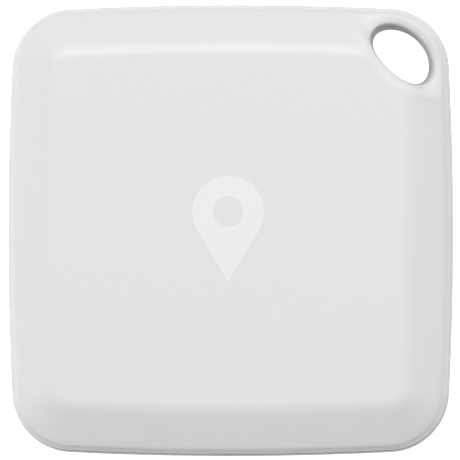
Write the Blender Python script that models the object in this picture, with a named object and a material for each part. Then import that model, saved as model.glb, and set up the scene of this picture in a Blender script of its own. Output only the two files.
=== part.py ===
"""Square key tracker tag: a two-part plastic case with a key-ring eyelet, a coin cell, a small
circuit board, a press switch and a piezo sounder.

Metres, +Z up. The tag lies on its back with its front up, +Y towards the top side and the eyelet
in the +X +Y corner. The origin is in the middle of the back face.
"""

import math

import bmesh
import bpy
from mathutils import Matrix, Vector
from mathutils.geometry import delaunay_2d_cdt

MM = 0.001

# Outline: a bowed square whose four corners are arcs tangent to the bowed sides
HALF_WIDTH = 19.0 * MM
HALF_HEIGHT = 19.25 * MM
CORNER_RADIUS = 5.2 * MM
BOW_RADIUS = 275.0 * MM
SIDE_STEPS = 6
CORNER_STEPS = 8

# Case heights, measured from the back face
THICKNESS = 7.8 * MM
PARTING_Z = 3.9 * MM
PARTING_GAP = 0.3 * MM
FLOOR = 1.1 * MM
ROOF_Z = 6.6 * MM
CEILING_Z = 5.6 * MM

# Front: a flat plateau, a sloping band round it and a soft shoulder between the two
BAND_WIDTH_X = 3.57 * MM
BAND_WIDTH_Y = 3.81 * MM
BAND_SLOPE = math.tan(math.radians(20))
SHOULDER = 0.62 * MM
RIM_SHARE = 0.62 / 3.57

# Case walls: how far each step of the outer wall lies in from the widest line
REAR_WALL = ((1.2, 0.0), (0.55, 0.2), (0.15, 0.8), (0.0, 2.4), (0.14, 3.75))
FRONT_WALL = ((0.17, 4.05), (0.45, 6.45), (0.5, 6.6))
FRONT_CAVITY_INSET = 1.0 * MM
CEILING_INSET = 1.9 * MM
ROOF_INSET = 3.7 * MM
TONGUE_INSET = 1.15 * MM
TONGUE_TOP = 4.75 * MM
REAR_CAVITY_INSET = 1.75 * MM

# Eyelet: an oval bore across the corner, in a shallow oval dish
EYELET_X = 14.7 * MM
EYELET_Y = 14.94 * MM
EYELET_LONG = 2.91 * MM
EYELET_SHORT = 1.753 * MM
EYELET_BEND = 0.33 * MM
EYELET_STEPS = 40
EDGE_SLIDE = 0.3 * MM
SIDE_BLEND = 0.6
DISH_LONG = 5.5 * MM
DISH_SHORT = 3.0 * MM
DISH_SHIFT = 0.3 * MM
DISH_LOW_Z = 6.78 * MM
DISH_HIGH_Z = 7.62 * MM
DISH_TURN = 0.7
DISH_TURN_SOFT = 0.1
DISH_FALL = 1.5
LUG_ARCH = 0.07 * MM
ROLL_OUTER = 0.42 * MM
ROLL_INNER = 0.1 * MM
ROLL_STEEPNESS = 2.35

# Wall of solid plastic that keeps the eyelet out of the sealed space, along the diagonal
LUG_DISTANCE = 17.9 * MM
DIAGONAL = Vector((1, 1, 0)).normalized()

# Coin cell, 20 mm x 3.2 mm, and the ring that holds it
CELL_X = -6.5 * MM
CELL_Y = -6.7 * MM
CELL_RADIUS = 10.0 * MM
CELL_BOTTOM = 1.65 * MM
CELL_TOP = 4.85 * MM
WELL_INNER = 10.25 * MM
WELL_OUTER = 10.95 * MM
WELL_TOP = 4.2 * MM

# Circuit board
BOARD_BOTTOM = 3.0 * MM
BOARD_TOP = 3.6 * MM
BOARD_INSET = 2.0 * MM
BOARD_CELL_RADIUS = 11.25 * MM
PART_BOTTOM = BOARD_TOP + 0.1 * MM
SCREWS = ((-14.6, 7.6), (14.0, -14.4), (9.6, 10.4))
POST_RADIUS = 1.5 * MM
POST_TOP = 2.85 * MM
PILOT_RADIUS = 0.65 * MM

# Switch and sounder
SWITCH_X = 4.3 * MM
SWITCH_Y = 4.3 * MM
PIEZO_X = 8.4 * MM
PIEZO_Y = -7.2 * MM
PIEZO_RADIUS = 6.4 * MM
SPRINGS = ((10.9, 5.9), (14.0, 6.05))
FOAM_RADIUS = 7.4 * MM
FOAM_BOTTOM = 5.2 * MM
FOAM_TOP = 6.5 * MM

ROUND = 40
SMALL_ROUND = 24


def corner_centre():
    """Centre of the corner arc, found from the two bowed sides that it touches."""
    reach = BOW_RADIUS - CORNER_RADIUS
    x = HALF_WIDTH - CORNER_RADIUS
    y = HALF_HEIGHT - CORNER_RADIUS
    for _ in range(12):
        x = HALF_WIDTH - BOW_RADIUS + math.sqrt(reach**2 - y**2)
        y = HALF_HEIGHT - BOW_RADIUS + math.sqrt(reach**2 - x**2)
    return x, y


CORNER_X, CORNER_Y = corner_centre()
SIDE_X = HALF_WIDTH - BOW_RADIUS
SIDE_Y = HALF_HEIGHT - BOW_RADIUS
CORNER_START = math.atan2(CORNER_Y, CORNER_X - SIDE_X)
CORNER_END = math.pi / 2 - math.atan2(CORNER_X, CORNER_Y - SIDE_Y)


def corner_share(angle):
    return (angle - CORNER_START) / (CORNER_END - CORNER_START)


def mixed(a, b, share):
    """a at the start of a corner, b at its end, and smoothly from one to the other between."""
    turn = share * math.pi / 2
    return a * math.cos(turn) ** 2 + b * math.sin(turn) ** 2


def outline(inset_x, inset_y=None):
    """The case's outline drawn in by inset_x at the sides and inset_y at top and bottom."""
    if inset_y is None:
        inset_y = inset_x
    quarter = []
    for i in range(SIDE_STEPS):
        angle = CORNER_START * i / SIDE_STEPS
        reach = BOW_RADIUS - inset_x
        quarter.append((SIDE_X + reach * math.cos(angle), reach * math.sin(angle)))
    for i in range(CORNER_STEPS + 1):
        share = i / CORNER_STEPS
        angle = CORNER_START + (CORNER_END - CORNER_START) * share
        reach = CORNER_RADIUS - mixed(inset_x, inset_y, share)
        quarter.append((CORNER_X + reach * math.cos(angle), CORNER_Y + reach * math.sin(angle)))
    for i in range(SIDE_STEPS - 1, -1, -1):
        angle = math.pi / 2 - (math.pi / 2 - CORNER_END) * i / SIDE_STEPS
        reach = BOW_RADIUS - inset_y
        quarter.append((reach * math.cos(angle), SIDE_Y + reach * math.sin(angle)))
    points = quarter[:-1]
    points += [(-x, y) for x, y in reversed(quarter[1:])]
    points += [(-x, -y) for x, y in quarter[:-1]]
    points += [(x, -y) for x, y in reversed(quarter[1:])]
    return points


def between(inner, outer, across):
    """Blend of two values: across is -1 on an oval's inner side and 1 on its outer side."""
    return inner + (outer - inner) * (0.5 + 0.5 * max(-1, min(1, across / SIDE_BLEND)))


def eyelet_edge(flare=0.0):
    """Measures, for oval, of the eyelet's own edge."""
    return EYELET_LONG + flare, EYELET_SHORT + flare, 0.0, 0.0, EYELET_BEND, EYELET_BEND


def oval(long_side, short_side, shift, slide, bend_in, bend_out):
    """
    An oval at the eyelet, its long side across the diagonal, shifted outwards along it.

    Its ends are bent towards the tag's middle by bend_in and bend_out, and its outer side slides
    along.
    """
    points = []
    for i in range(EYELET_STEPS):
        angle = 2 * math.pi * i / EYELET_STEPS
        across = math.sin(angle)
        along = long_side * math.cos(angle) + between(0.0, slide, across)
        out = short_side * across + shift - between(bend_in, bend_out, across) * math.cos(angle) ** 2
        points.append((EYELET_X + (out + along) * DIAGONAL.x, EYELET_Y + (out - along) * DIAGONAL.y))
    return points


def band_share(x, y):
    """0 on the case's widest line, 1 on the plateau's edge, more inside it."""
    x, y = abs(x), abs(y)
    angle = math.atan2(y - CORNER_Y, x - CORNER_X)
    if CORNER_START <= angle <= CORNER_END:
        inset = CORNER_RADIUS - math.hypot(x - CORNER_X, y - CORNER_Y)
        return inset / mixed(BAND_WIDTH_X, BAND_WIDTH_Y, corner_share(angle))
    side = (BOW_RADIUS - math.hypot(x - SIDE_X, y)) / BAND_WIDTH_X
    end = (BOW_RADIUS - math.hypot(x, y - SIDE_Y)) / BAND_WIDTH_Y
    return min(side, end)


def band_height(x, y):
    """Height of the front without its dish."""
    out = (1 - band_share(x, y)) * BAND_WIDTH_X
    if out <= -SHOULDER:
        return THICKNESS
    if out >= SHOULDER:
        return THICKNESS - BAND_SLOPE * out
    return THICKNESS - BAND_SLOPE * (out + SHOULDER) ** 2 / (4 * SHOULDER)


def eyelet_sides(x, y):
    """A point's distances from the eyelet's centre: along its long side, and out to the corner."""
    dx, dy = x - EYELET_X, y - EYELET_Y
    return (dx - dy) * DIAGONAL.x, (dx + dy) * DIAGONAL.x


def dish_edge(share):
    """Measures, for oval, of the curve a share of the way from the eyelet's roll to the dish's end."""
    inner = 1 - share
    roll = (ROLL_OUTER + ROLL_INNER) / 2
    shift = (ROLL_OUTER - ROLL_INNER) / 2
    return (
        (EYELET_LONG + ROLL_OUTER) * inner + DISH_LONG * share,
        (EYELET_SHORT + roll) * inner + DISH_SHORT * share,
        shift * inner + DISH_SHIFT * share,
        EDGE_SLIDE * inner,
        EYELET_BEND * inner,
        0.0,
    )


def beyond(along, out, edge):
    """Whether a point lies outside the oval with these measures."""
    long_side, short_side, shift, slide, bend_in, bend_out = edge
    across = (out - shift) / short_side
    end = ((along - between(0.0, slide, across)) / long_side) ** 2
    out = out - shift + between(bend_in, bend_out, across) * min(1, end)
    return end + (out / short_side) ** 2 > 1


def dish_share(x, y):
    """0 at the eyelet, 1 where the dish runs out into the front."""
    along, out = eyelet_sides(x, y)
    low, high = 0.0, 1.0
    for _ in range(30):
        middle = (low + high) / 2
        if beyond(along, out, dish_edge(middle)):
            low = middle
        else:
            high = middle
    return high


def front_height(x, y):
    """Height of the front, dish included."""
    base = band_height(x, y)
    share = dish_share(x, y)
    out = eyelet_sides(x, y)[1] / (EYELET_SHORT + (ROLL_OUTER + ROLL_INNER) / 2)
    out = max(-1, min(1, out))
    turn = out + DISH_TURN
    lean = 1 - math.exp(-DISH_FALL * (turn + math.hypot(turn, DISH_TURN_SOFT)))
    low = DISH_HIGH_Z - (DISH_HIGH_Z - DISH_LOW_Z) * lean
    arch = LUG_ARCH * 4 * share * (1 - share) * max(0, out)
    return low + (base - low) * share + arch


def ring(points, z):
    return [(x, y, z) for x, y in points]


def skin(bm, rings, closed=False):
    """Faces over rings of equal length; with closed, from the last ring back to the first."""
    loops = [[bm.verts.new(point) for point in points] for points in rings]
    following = loops[1:] + loops[:1] if closed else loops[1:]
    for lower, upper in zip(loops, following):
        for i, corner in enumerate(lower):
            j = (i + 1) % len(lower)
            bm.faces.new((corner, lower[j], upper[j], upper[i]))
    return loops


def loft(rings):
    """A solid over rings that go anticlockwise and upwards."""
    bm = bmesh.new()
    loops = skin(bm, rings)
    bm.faces.new(reversed(loops[0]))
    bm.faces.new(loops[-1])
    return bm


def prism(points, bottom, top):
    return loft([ring(points, bottom), ring(points, top)])


def hoop(profile, steps, x=0.0, y=0.0):
    """A ring turned from a closed profile of (radius, height) points that goes anticlockwise."""
    bm = bmesh.new()
    skin(bm, [ring(circle(radius, steps, x, y), z) for radius, z in profile], closed=True)
    return bm


def turned(profile, steps, x=0.0, y=0.0):
    """A solid turned from (radius, height) points that go up its outer side."""
    return loft([ring(circle(radius, steps, x, y), z) for radius, z in profile])


def circle(radius, steps, x=0.0, y=0.0):
    angles = [2 * math.pi * i / steps for i in range(steps)]
    return [(x + radius * math.cos(a), y + radius * math.sin(a)) for a in angles]


def rounded_rectangle(size_x, size_y, corner, x=0.0, y=0.0, steps=3):
    points = []
    for turn in range(4):
        start = turn * math.pi / 2
        sign_x = 1 if turn in (0, 3) else -1
        sign_y = 1 if turn in (0, 1) else -1
        for i in range(steps + 1):
            angle = start + math.pi / 2 * i / steps
            points.append((
                x + sign_x * (size_x / 2 - corner) + corner * math.cos(angle),
                y + sign_y * (size_y / 2 - corner) + corner * math.sin(angle),
            ))
    return points


def clip_corner(bm, distance):
    """Cuts the eyelet's corner off a solid, square to the diagonal, and closes the cut."""
    geometry = bm.verts[:] + bm.edges[:] + bm.faces[:]
    cut = bmesh.ops.bisect_plane(
        bm, geom=geometry, plane_co=DIAGONAL * distance, plane_no=DIAGONAL, clear_outer=True
    )
    edges = [item for item in cut["geom_cut"] if isinstance(item, bmesh.types.BMEdge)]
    bmesh.ops.contextual_create(bm, geom=edges)
    return bm


def sealed_prism(inset, bottom, top):
    """A block with the outline of the sealed space: the case's, without the eyelet's corner."""
    bm = prism(outline(inset), bottom, top)
    return clip_corner(bm, LUG_DISTANCE + FRONT_CAVITY_INSET - inset)


def sheet(bm, outer, inner, rings, height):
    """Triangles from an outer loop to an inner one, through the points of some rings."""
    points, edges = [], []
    for loop in [outer, inner] + rings:
        first = len(points)
        points += [Vector(point) for point, keep in loop]
        for i, (_, keep) in enumerate(loop):
            j = (i + 1) % len(loop)
            if keep and loop[j][1]:
                edges.append((first + i, first + j))
    found = delaunay_2d_cdt(points, edges, [], 1, 1e-7)
    verts = [bm.verts.new((point.x, point.y, height(point.x, point.y))) for point in found[0]]
    hole = [point for point, _ in inner]
    for corners in found[2]:
        middle = sum((found[0][i] for i in corners), Vector((0, 0))) / len(corners)
        if not inside(middle, hole):
            bm.faces.new([verts[i] for i in corners])
    bmesh.ops.delete(bm, geom=[v for v in verts if not v.link_faces], context="VERTS")


def inside(point, loop):
    """True if the point lies in a convex loop that goes clockwise or anticlockwise."""
    signs = set()
    for (ax, ay), (bx, by) in zip(loop, loop[1:] + loop[:1]):
        signs.add((bx - ax) * (point[1] - ay) - (by - ay) * (point[0] - ax) > 0)
    return len(signs) == 1


def whole(points):
    """A loop of which every stretch is kept as an edge."""
    return [(point, True) for point in points]


def finish_mesh(bm, name):
    bmesh.ops.remove_doubles(bm, verts=bm.verts, dist=1e-7)
    bmesh.ops.recalc_face_normals(bm, faces=bm.faces)
    mesh = bpy.data.meshes.new(name)
    bm.to_mesh(mesh)
    bm.free()
    return mesh


def material(name, colour, roughness, metallic=0.0):
    made = bpy.data.materials.new(name)
    made.use_nodes = True
    shader = made.node_tree.nodes["Principled BSDF"]
    shader.inputs["Base Color"].default_value = (*colour, 1)
    shader.inputs["Roughness"].default_value = roughness
    shader.inputs["Metallic"].default_value = metallic
    return made


def add_body(name, parent=None, location=(0, 0, 0)):
    """An empty on a moving body's slide axis; the body's pieces are its children."""
    body = bpy.data.objects.new(name + "_axis", None)
    body.empty_display_size = 3 * MM
    bpy.context.scene.collection.objects.link(body)
    body.location = location
    attach(body, parent)
    return body


def attach(obj, parent):
    """Makes obj follow parent without moving obj."""
    if parent is None:
        return
    bpy.context.view_layer.update()
    obj.parent = parent
    obj.matrix_parent_inverse = parent.matrix_world.inverted()


def add_piece(name, bm, look, body, location=(0, 0, 0)):
    mesh = finish_mesh(bm, name)
    mesh.materials.append(look)
    mesh.shade_smooth()
    mesh.set_sharp_from_angle(angle=math.radians(28))
    obj = bpy.data.objects.new(name, mesh)
    bpy.context.scene.collection.objects.link(obj)
    obj.location = location
    attach(obj, body)
    return obj


def combine(obj, operation, label, bm):
    """Adds a Boolean with a hidden helper: DIFFERENCE cuts bm away, UNION joins it on."""
    helper = bpy.data.objects.new(f"{obj.name}_{label}", finish_mesh(bm, label))
    bpy.context.scene.collection.objects.link(helper)
    helper.hide_render = True
    helper.display_type = "WIRE"
    modifier = obj.modifiers.new(label, "BOOLEAN")
    modifier.operation = operation
    modifier.object = helper


def front_solid():
    """The front cover before it is hollowed, with the eyelet through it."""
    bm = bmesh.new()
    eyelet_wall = [oval(*eyelet_edge())] * 2
    eyelet_top = oval(*dish_edge(0))
    rim = outline(RIM_SHARE * BAND_WIDTH_X, RIM_SHARE * BAND_WIDTH_Y)
    bottom_z = PARTING_Z + PARTING_GAP / 2

    walls = [ring(outline(inset * MM), z * MM) for inset, z in FRONT_WALL]
    walls.append([(x, y, front_height(x, y)) for x, y in rim])
    skin(bm, walls)

    edge = [(x, y, front_height(x, y)) for x, y in eyelet_top]
    rolled = []
    for (x, y), (edge_x, edge_y, z) in zip(eyelet_wall[1], edge):
        depth = ROLL_STEEPNESS * math.hypot(edge_x - x, edge_y - y)
        rolled.append((x, y, z - depth))
    middle = [roll_point(*pair) for pair in zip(rolled, edge)]
    skin(bm, [ring(eyelet_wall[0], bottom_z), rolled, middle, edge])

    rings = []
    for out in (1, 0.5, 0, -0.5, -1):
        share = 1 - out * SHOULDER / BAND_WIDTH_X
        points = outline(share * BAND_WIDTH_X, share * BAND_WIDTH_Y)
        rings.append([(point, True) for point in points if dish_share(*point) > 0.999])
    for share in (0.3, 0.65, 1.0):
        points = [p for p in oval(*dish_edge(share)) if band_share(*p) > RIM_SHARE * 1.15]
        rings.append([(point, True) for point in points])
    sheet(bm, whole(rim), whole(eyelet_top), [mark_breaks(loop) for loop in rings], front_height)
    sheet(bm, whole(outline(FRONT_WALL[0][0] * MM)), whole(eyelet_wall[0]), [], lambda x, y: bottom_z)
    return bm


def roll_point(low, high):
    """The middle of the quarter oval that goes from the eyelet's wall up to the dish."""
    across, up = 1 - math.sqrt(0.5), math.sqrt(0.5)
    return (
        low[0] + (high[0] - low[0]) * across,
        low[1] + (high[1] - low[1]) * across,
        low[2] + (high[2] - low[2]) * up,
    )


def mark_breaks(loop):
    """Leaves out the edge over each gap that dropped points have left in a loop."""
    points = [point for point, _ in loop]
    longest = 3 * MM
    marked = []
    for i, point in enumerate(points):
        ahead = points[(i + 1) % len(points)]
        behind = points[i - 1]
        near = math.dist(point, ahead) < longest and math.dist(point, behind) < longest
        marked.append((point, near))
    return marked


def front_cavity():
    steps = (
        (FRONT_CAVITY_INSET, PARTING_Z - 1 * MM),
        (FRONT_CAVITY_INSET, CEILING_Z),
        (CEILING_INSET, CEILING_Z),
        (ROOF_INSET, ROOF_Z),
    )
    bm = loft([ring(outline(inset), z) for inset, z in steps])
    return clip_corner(bm, LUG_DISTANCE)


def make_front_cover(body, looks):
    shell = add_piece("front_shell", front_solid(), looks["shell"], body)
    combine(shell, "DIFFERENCE", "cavity", front_cavity())
    inside_roof = ROOF_Z + 0.3 * MM
    boss = turned(
        ((1.0 * MM, 5.5 * MM), (1.2 * MM, 5.7 * MM), (1.2 * MM, inside_roof)),
        SMALL_ROUND, SWITCH_X, SWITCH_Y,
    )
    combine(shell, "UNION", "press_boss", boss)
    seat_bottom = 5.95 * MM
    seat = hoop(
        (
            (PIEZO_RADIUS + 0.3 * MM, seat_bottom),
            (PIEZO_RADIUS + 0.8 * MM, seat_bottom),
            (PIEZO_RADIUS + 0.8 * MM, inside_roof),
            (PIEZO_RADIUS + 0.3 * MM, inside_roof),
        ),
        ROUND, PIEZO_X, PIEZO_Y,
    )
    combine(shell, "UNION", "piezo_seat", seat)


def make_sounder(body, looks):
    where = (PIEZO_X, PIEZO_Y, 0)
    plate = turned(((PIEZO_RADIUS, 6.2 * MM), (PIEZO_RADIUS, 6.38 * MM)), ROUND)
    add_piece("piezo_plate", plate, looks["brass"], body, where)
    ceramic_radius = 4.8 * MM
    ceramic = turned(((ceramic_radius, 6.02 * MM), (ceramic_radius, 6.14 * MM)), ROUND)
    add_piece("piezo_ceramic", ceramic, looks["ceramic"], body, where)
    tape_bottom, tape_top = 6.43 * MM, 6.53 * MM
    inner, outer = 5.2 * MM, 6.2 * MM
    tape = hoop(
        ((inner, tape_bottom), (outer, tape_bottom), (outer, tape_top), (inner, tape_top)), ROUND
    )
    add_piece("piezo_tape", tape, looks["tape"], body, where)


def make_foam(body, looks):
    soft = 0.2 * MM
    profile = (
        (FOAM_RADIUS - soft, FOAM_BOTTOM),
        (FOAM_RADIUS, FOAM_BOTTOM + soft),
        (FOAM_RADIUS, FOAM_TOP),
    )
    add_piece("cell_foam", turned(profile, ROUND), looks["foam"], body, (CELL_X, CELL_Y, 0))


def make_seal(body, looks):
    inset = TONGUE_INSET + 0.02 * MM
    bottom, top = 4.88 * MM, 5.28 * MM
    width = 0.56 * MM
    seal = add_piece("shell_seal", sealed_prism(inset, bottom, top), looks["seal"], body)
    combine(seal, "DIFFERENCE", "middle", sealed_prism(inset + width, bottom - width, top + width))


def cell_gap(angle, width, bottom):
    """A cutter through the ring round the cell, at an angle from +X."""
    centre = (WELL_INNER + WELL_OUTER) / 2
    bm = prism(rounded_rectangle(2.2 * MM, width, 0.3 * MM), bottom, WELL_TOP + 1 * MM)
    bmesh.ops.translate(bm, vec=(centre, 0, 0), verts=bm.verts)
    return place_round_cell(bm, angle)


def place_round_cell(bm, angle):
    """Turns a solid made along +X by angle and moves it to the cell's centre."""
    bmesh.ops.rotate(bm, cent=(0, 0, 0), matrix=Matrix.Rotation(angle, 3, "Z"), verts=bm.verts)
    bmesh.ops.translate(bm, vec=(CELL_X, CELL_Y, 0), verts=bm.verts)
    return bm


def rear_eyelet():
    """Cutter for the eyelet, flared at the back."""
    steps = ((0.5, -0.3), (0.5, 0.0), (0.15, 0.18), (0.0, 0.55), (0.0, 5.0))
    rings = []
    for flare, z in steps:
        rings.append(ring(oval(*eyelet_edge(flare * MM)), z * MM))
    return loft(rings)


def make_rear_shell(body, looks):
    outer = loft([ring(outline(inset * MM), z * MM) for inset, z in REAR_WALL])
    shell = add_piece("rear_shell", outer, looks["shell"], body)
    combine(shell, "UNION", "tongue", sealed_prism(TONGUE_INSET, 2 * MM, TONGUE_TOP))
    combine(shell, "DIFFERENCE", "cavity", sealed_prism(REAR_CAVITY_INSET, FLOOR, 9 * MM))
    below = FLOOR - 0.2 * MM
    well = hoop(
        ((WELL_INNER, below), (WELL_OUTER, below), (WELL_OUTER, WELL_TOP), (WELL_INNER, WELL_TOP)),
        ROUND, CELL_X, CELL_Y,
    )
    combine(shell, "UNION", "cell_ring", well)
    for number, (x, y) in enumerate(SCREWS, 1):
        x, y = x * MM, y * MM
        post = turned(((POST_RADIUS, below), (POST_RADIUS, POST_TOP)), SMALL_ROUND, x, y)
        combine(shell, "UNION", f"post_{number}", post)
    for number, (x, y) in enumerate(SCREWS, 1):
        x, y = x * MM, y * MM
        pilot = turned(((PILOT_RADIUS, 1.4 * MM), (PILOT_RADIUS, 4 * MM)), SMALL_ROUND, x, y)
        combine(shell, "DIFFERENCE", f"pilot_{number}", pilot)
    combine(shell, "DIFFERENCE", "plus_gap", cell_gap(0, 3.8 * MM, FLOOR + 0.4 * MM))
    combine(shell, "DIFFERENCE", "minus_gap", cell_gap(math.pi / 4, 3.8 * MM, FLOOR + 0.01 * MM))
    combine(shell, "DIFFERENCE", "finger_gap", cell_gap(-0.75 * math.pi, 6.5 * MM, 2.6 * MM))
    combine(shell, "DIFFERENCE", "eyelet", rear_eyelet())


def make_board(body, looks):
    board = add_piece(
        "circuit_board", sealed_prism(BOARD_INSET, BOARD_BOTTOM, BOARD_TOP), looks["board"], body
    )
    points = []
    for i in range(ROUND + 1):
        angle = math.radians(-45 + 180 * i / ROUND)
        points.append((
            CELL_X + BOARD_CELL_RADIUS * math.cos(angle),
            CELL_Y + BOARD_CELL_RADIUS * math.sin(angle),
        ))
    far = -HALF_WIDTH * 1.2
    points += [(far, points[-1][1]), (far, far), (points[0][0], far)]
    combine(board, "DIFFERENCE", "cell_bay", prism(points, BOARD_BOTTOM - MM, BOARD_TOP + MM))
    for number, (x, y) in enumerate(SCREWS, 1):
        hole = turned(((0.75 * MM, 2 * MM), (0.75 * MM, 5 * MM)), SMALL_ROUND, x * MM, y * MM)
        combine(board, "DIFFERENCE", f"screw_hole_{number}", hole)


def make_screws(body, looks):
    shank, head = 0.55 * MM, 1.1 * MM
    profile = (
        (0.2 * MM, 1.55 * MM),
        (shank, 1.9 * MM),
        (shank, PART_BOTTOM),
        (head, PART_BOTTOM),
        (head, PART_BOTTOM + 0.35 * MM),
        (head * 0.72, PART_BOTTOM + 0.6 * MM),
    )
    for number, (x, y) in enumerate(SCREWS, 1):
        screw = add_piece(
            f"board_screw_{number}", turned(profile, SMALL_ROUND), looks["steel"], body,
            (x * MM, y * MM, 0),
        )
        slot = prism(rounded_rectangle(1.2 * MM, 0.28 * MM, 0.1 * MM), 4.05 * MM, 5 * MM)
        bmesh.ops.translate(slot, vec=(x * MM, y * MM, 0), verts=slot.verts)
        combine(screw, "DIFFERENCE", "slot", slot)


def bent_strip(path, thickness, width):
    """A strip of sheet metal: path is its (distance, height) line and width its size across."""
    sides = ([], [])
    for i, point in enumerate(path):
        before = Vector(path[max(i - 1, 0)])
        after = Vector(path[min(i + 1, len(path) - 1)])
        along = (after - before).normalized()
        across = Vector((-along.y, along.x)) * thickness / 2
        sides[0].append(Vector(point) - across)
        sides[1].append(Vector(point) + across)
    profile = sides[0] + sides[1][::-1]
    rings = [[(p.x, side * width / 2, p.y) for p in profile] for side in (-1, 1)]
    return loft(rings)


def make_contacts(body, looks):
    minus_path = [
        (0.5 * MM, 1.42 * MM), (3.0 * MM, 1.28 * MM), (12.2 * MM, 1.28 * MM),
        (12.7 * MM, 1.5 * MM), (12.8 * MM, 2.1 * MM), (12.8 * MM, 2.85 * MM),
    ]
    minus = place_round_cell(bent_strip(minus_path, 0.12 * MM, 3.0 * MM), math.pi / 4)
    add_piece("contact_negative", minus, looks["steel"], body)
    plus_path = [
        (10.45 * MM, 1.9 * MM), (10.2 * MM, 2.8 * MM), (10.45 * MM, 3.6 * MM),
        (10.7 * MM, 3.78 * MM), (13.2 * MM, 3.78 * MM),
    ]
    plus = place_round_cell(bent_strip(plus_path, 0.12 * MM, 3.0 * MM), 0)
    add_piece("contact_positive", plus, looks["steel"], body)


def make_switch(fixed, moving, looks):
    where = (SWITCH_X, SWITCH_Y, 0)
    side = 4.5 * MM
    tray = prism(rounded_rectangle(side, side, 0.4 * MM), PART_BOTTOM, 4.6 * MM)
    base = add_piece("switch_base", tray, looks["black"], fixed, where)
    well = turned(((1.7 * MM, 3.95 * MM), (1.7 * MM, 5 * MM)), SMALL_ROUND, SWITCH_X, SWITCH_Y)
    combine(base, "DIFFERENCE", "well", well)
    plate = prism(rounded_rectangle(side, side, 0.4 * MM), 4.8 * MM, 4.95 * MM)
    cover = add_piece("switch_cover", plate, looks["steel"], fixed, where)
    hole = turned(((1.05 * MM, 4 * MM), (1.05 * MM, 6 * MM)), SMALL_ROUND, SWITCH_X, SWITCH_Y)
    combine(cover, "DIFFERENCE", "hole", hole)
    dome = turned(
        ((1.45 * MM, 4.05 * MM), (1.5 * MM, 4.12 * MM), (1.2 * MM, 4.27 * MM), (0.6 * MM, 4.38 * MM)),
        SMALL_ROUND,
    )
    add_piece("switch_dome", dome, looks["steel"], fixed, where)
    plunger = turned(
        (
            (1.4 * MM, 4.52 * MM), (1.4 * MM, 4.66 * MM), (0.9 * MM, 4.66 * MM),
            (0.9 * MM, 5.3 * MM), (0.75 * MM, 5.4 * MM),
        ),
        SMALL_ROUND,
    )
    add_piece("switch_plunger", plunger, looks["black"], moving, where)


def make_springs(body, looks):
    coil_radius, wire_radius = 0.55 * MM, 0.1 * MM
    turns, steps = 4, 12
    for number, (x, top) in enumerate(SPRINGS, 1):
        low = PART_BOTTOM + wire_radius
        high = top * MM - wire_radius
        curve = bpy.data.curves.new(f"piezo_spring_{number}", "CURVE")
        curve.dimensions = "3D"
        curve.bevel_depth = wire_radius
        curve.bevel_resolution = 1
        curve.use_fill_caps = True
        spline = curve.splines.new("POLY")
        count = turns * steps + 1
        spline.points.add(count - 1)
        for i, point in enumerate(spline.points):
            angle = 2 * math.pi * i / steps
            z = low + (high - low) * i / (count - 1)
            point.co = (coil_radius * math.cos(angle), coil_radius * math.sin(angle), z, 1)
        curve.materials.append(looks["steel"])
        obj = bpy.data.objects.new(f"piezo_spring_{number}", curve)
        bpy.context.scene.collection.objects.link(obj)
        obj.location = (x * MM, PIEZO_Y, 0)
        attach(obj, body)


def chip(size_x, size_y, height, corner=0.1, chamfer=0.1):
    """A board part: a block with rounded corners and a chamfer round its top, sizes in mm."""
    top = PART_BOTTOM + height * MM
    full = rounded_rectangle(size_x * MM, size_y * MM, corner * MM)
    inner = rounded_rectangle(
        (size_x - 2 * chamfer) * MM, (size_y - 2 * chamfer) * MM, corner * 0.7 * MM
    )
    return loft([ring(full, PART_BOTTOM), ring(full, top - chamfer * MM), ring(inner, top)])


BOARD_PARTS = (
    # name, x, y, size along x, size along y, height, finish
    ("radio_chip", -3.0, 12.2, 5.0, 5.0, 0.85, "black"),
    ("driver_chip", 11.4, 3.4, 3.0, 3.0, 0.8, "black"),
    ("crystal_main", 2.0, 13.4, 2.0, 1.6, 0.5, "can"),
    ("crystal_slow", -8.6, 9.8, 3.2, 1.5, 0.8, "can"),
    ("chip_antenna", -11.2, 15.2, 6.5, 2.0, 1.1, "antenna"),
    ("boost_inductor", 8.6, -14.6, 3.0, 3.0, 1.5, "ferrite"),
    ("bulk_capacitor", 14.0, -0.8, 2.5, 3.2, 1.8, "tantalum"),
)
CAPACITORS = ((2.0, 11.2), (2.0, 9.9), (-7.4, 12.8), (-3.0, 16.0), (6.8, 8.6), (8.2, -1.6))


def make_board_parts(body, looks):
    for name, x, y, size_x, size_y, height, look in BOARD_PARTS:
        add_piece(name, chip(size_x, size_y, height), looks[look], body, (x * MM, y * MM, 0))
    for number, (x, y) in enumerate(CAPACITORS, 1):
        block = chip(1.0, 0.5, 0.5, 0.05, 0.05)
        add_piece(f"capacitor_{number}", block, looks["capacitor"], body, (x * MM, y * MM, 0))


def make_cell(body, looks):
    where = (CELL_X, CELL_Y, 0)
    skirt_inner = 9.6 * MM
    lip = 0.25 * MM
    can = turned(
        (
            (skirt_inner, 2.35 * MM), (skirt_inner, 1.75 * MM),
            (CELL_RADIUS - lip, 1.75 * MM), (CELL_RADIUS, 1.75 * MM + lip),
            (CELL_RADIUS, CELL_TOP - lip), (CELL_RADIUS - lip, CELL_TOP),
        ),
        ROUND,
    )
    add_piece("cell_can", can, looks["cell"], body, where)
    gasket = hoop(
        (
            (8.75 * MM, 1.8 * MM), (9.45 * MM, 1.8 * MM),
            (9.45 * MM, 2.2 * MM), (8.75 * MM, 2.2 * MM),
        ),
        ROUND,
    )
    add_piece("cell_gasket", gasket, looks["seal"], body, where)
    cap = turned(
        ((8.3 * MM, CELL_BOTTOM), (8.6 * MM, 1.85 * MM), (8.6 * MM, 2.2 * MM)), ROUND
    )
    add_piece("cell_cap", cap, looks["cell"], body, where)


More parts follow.
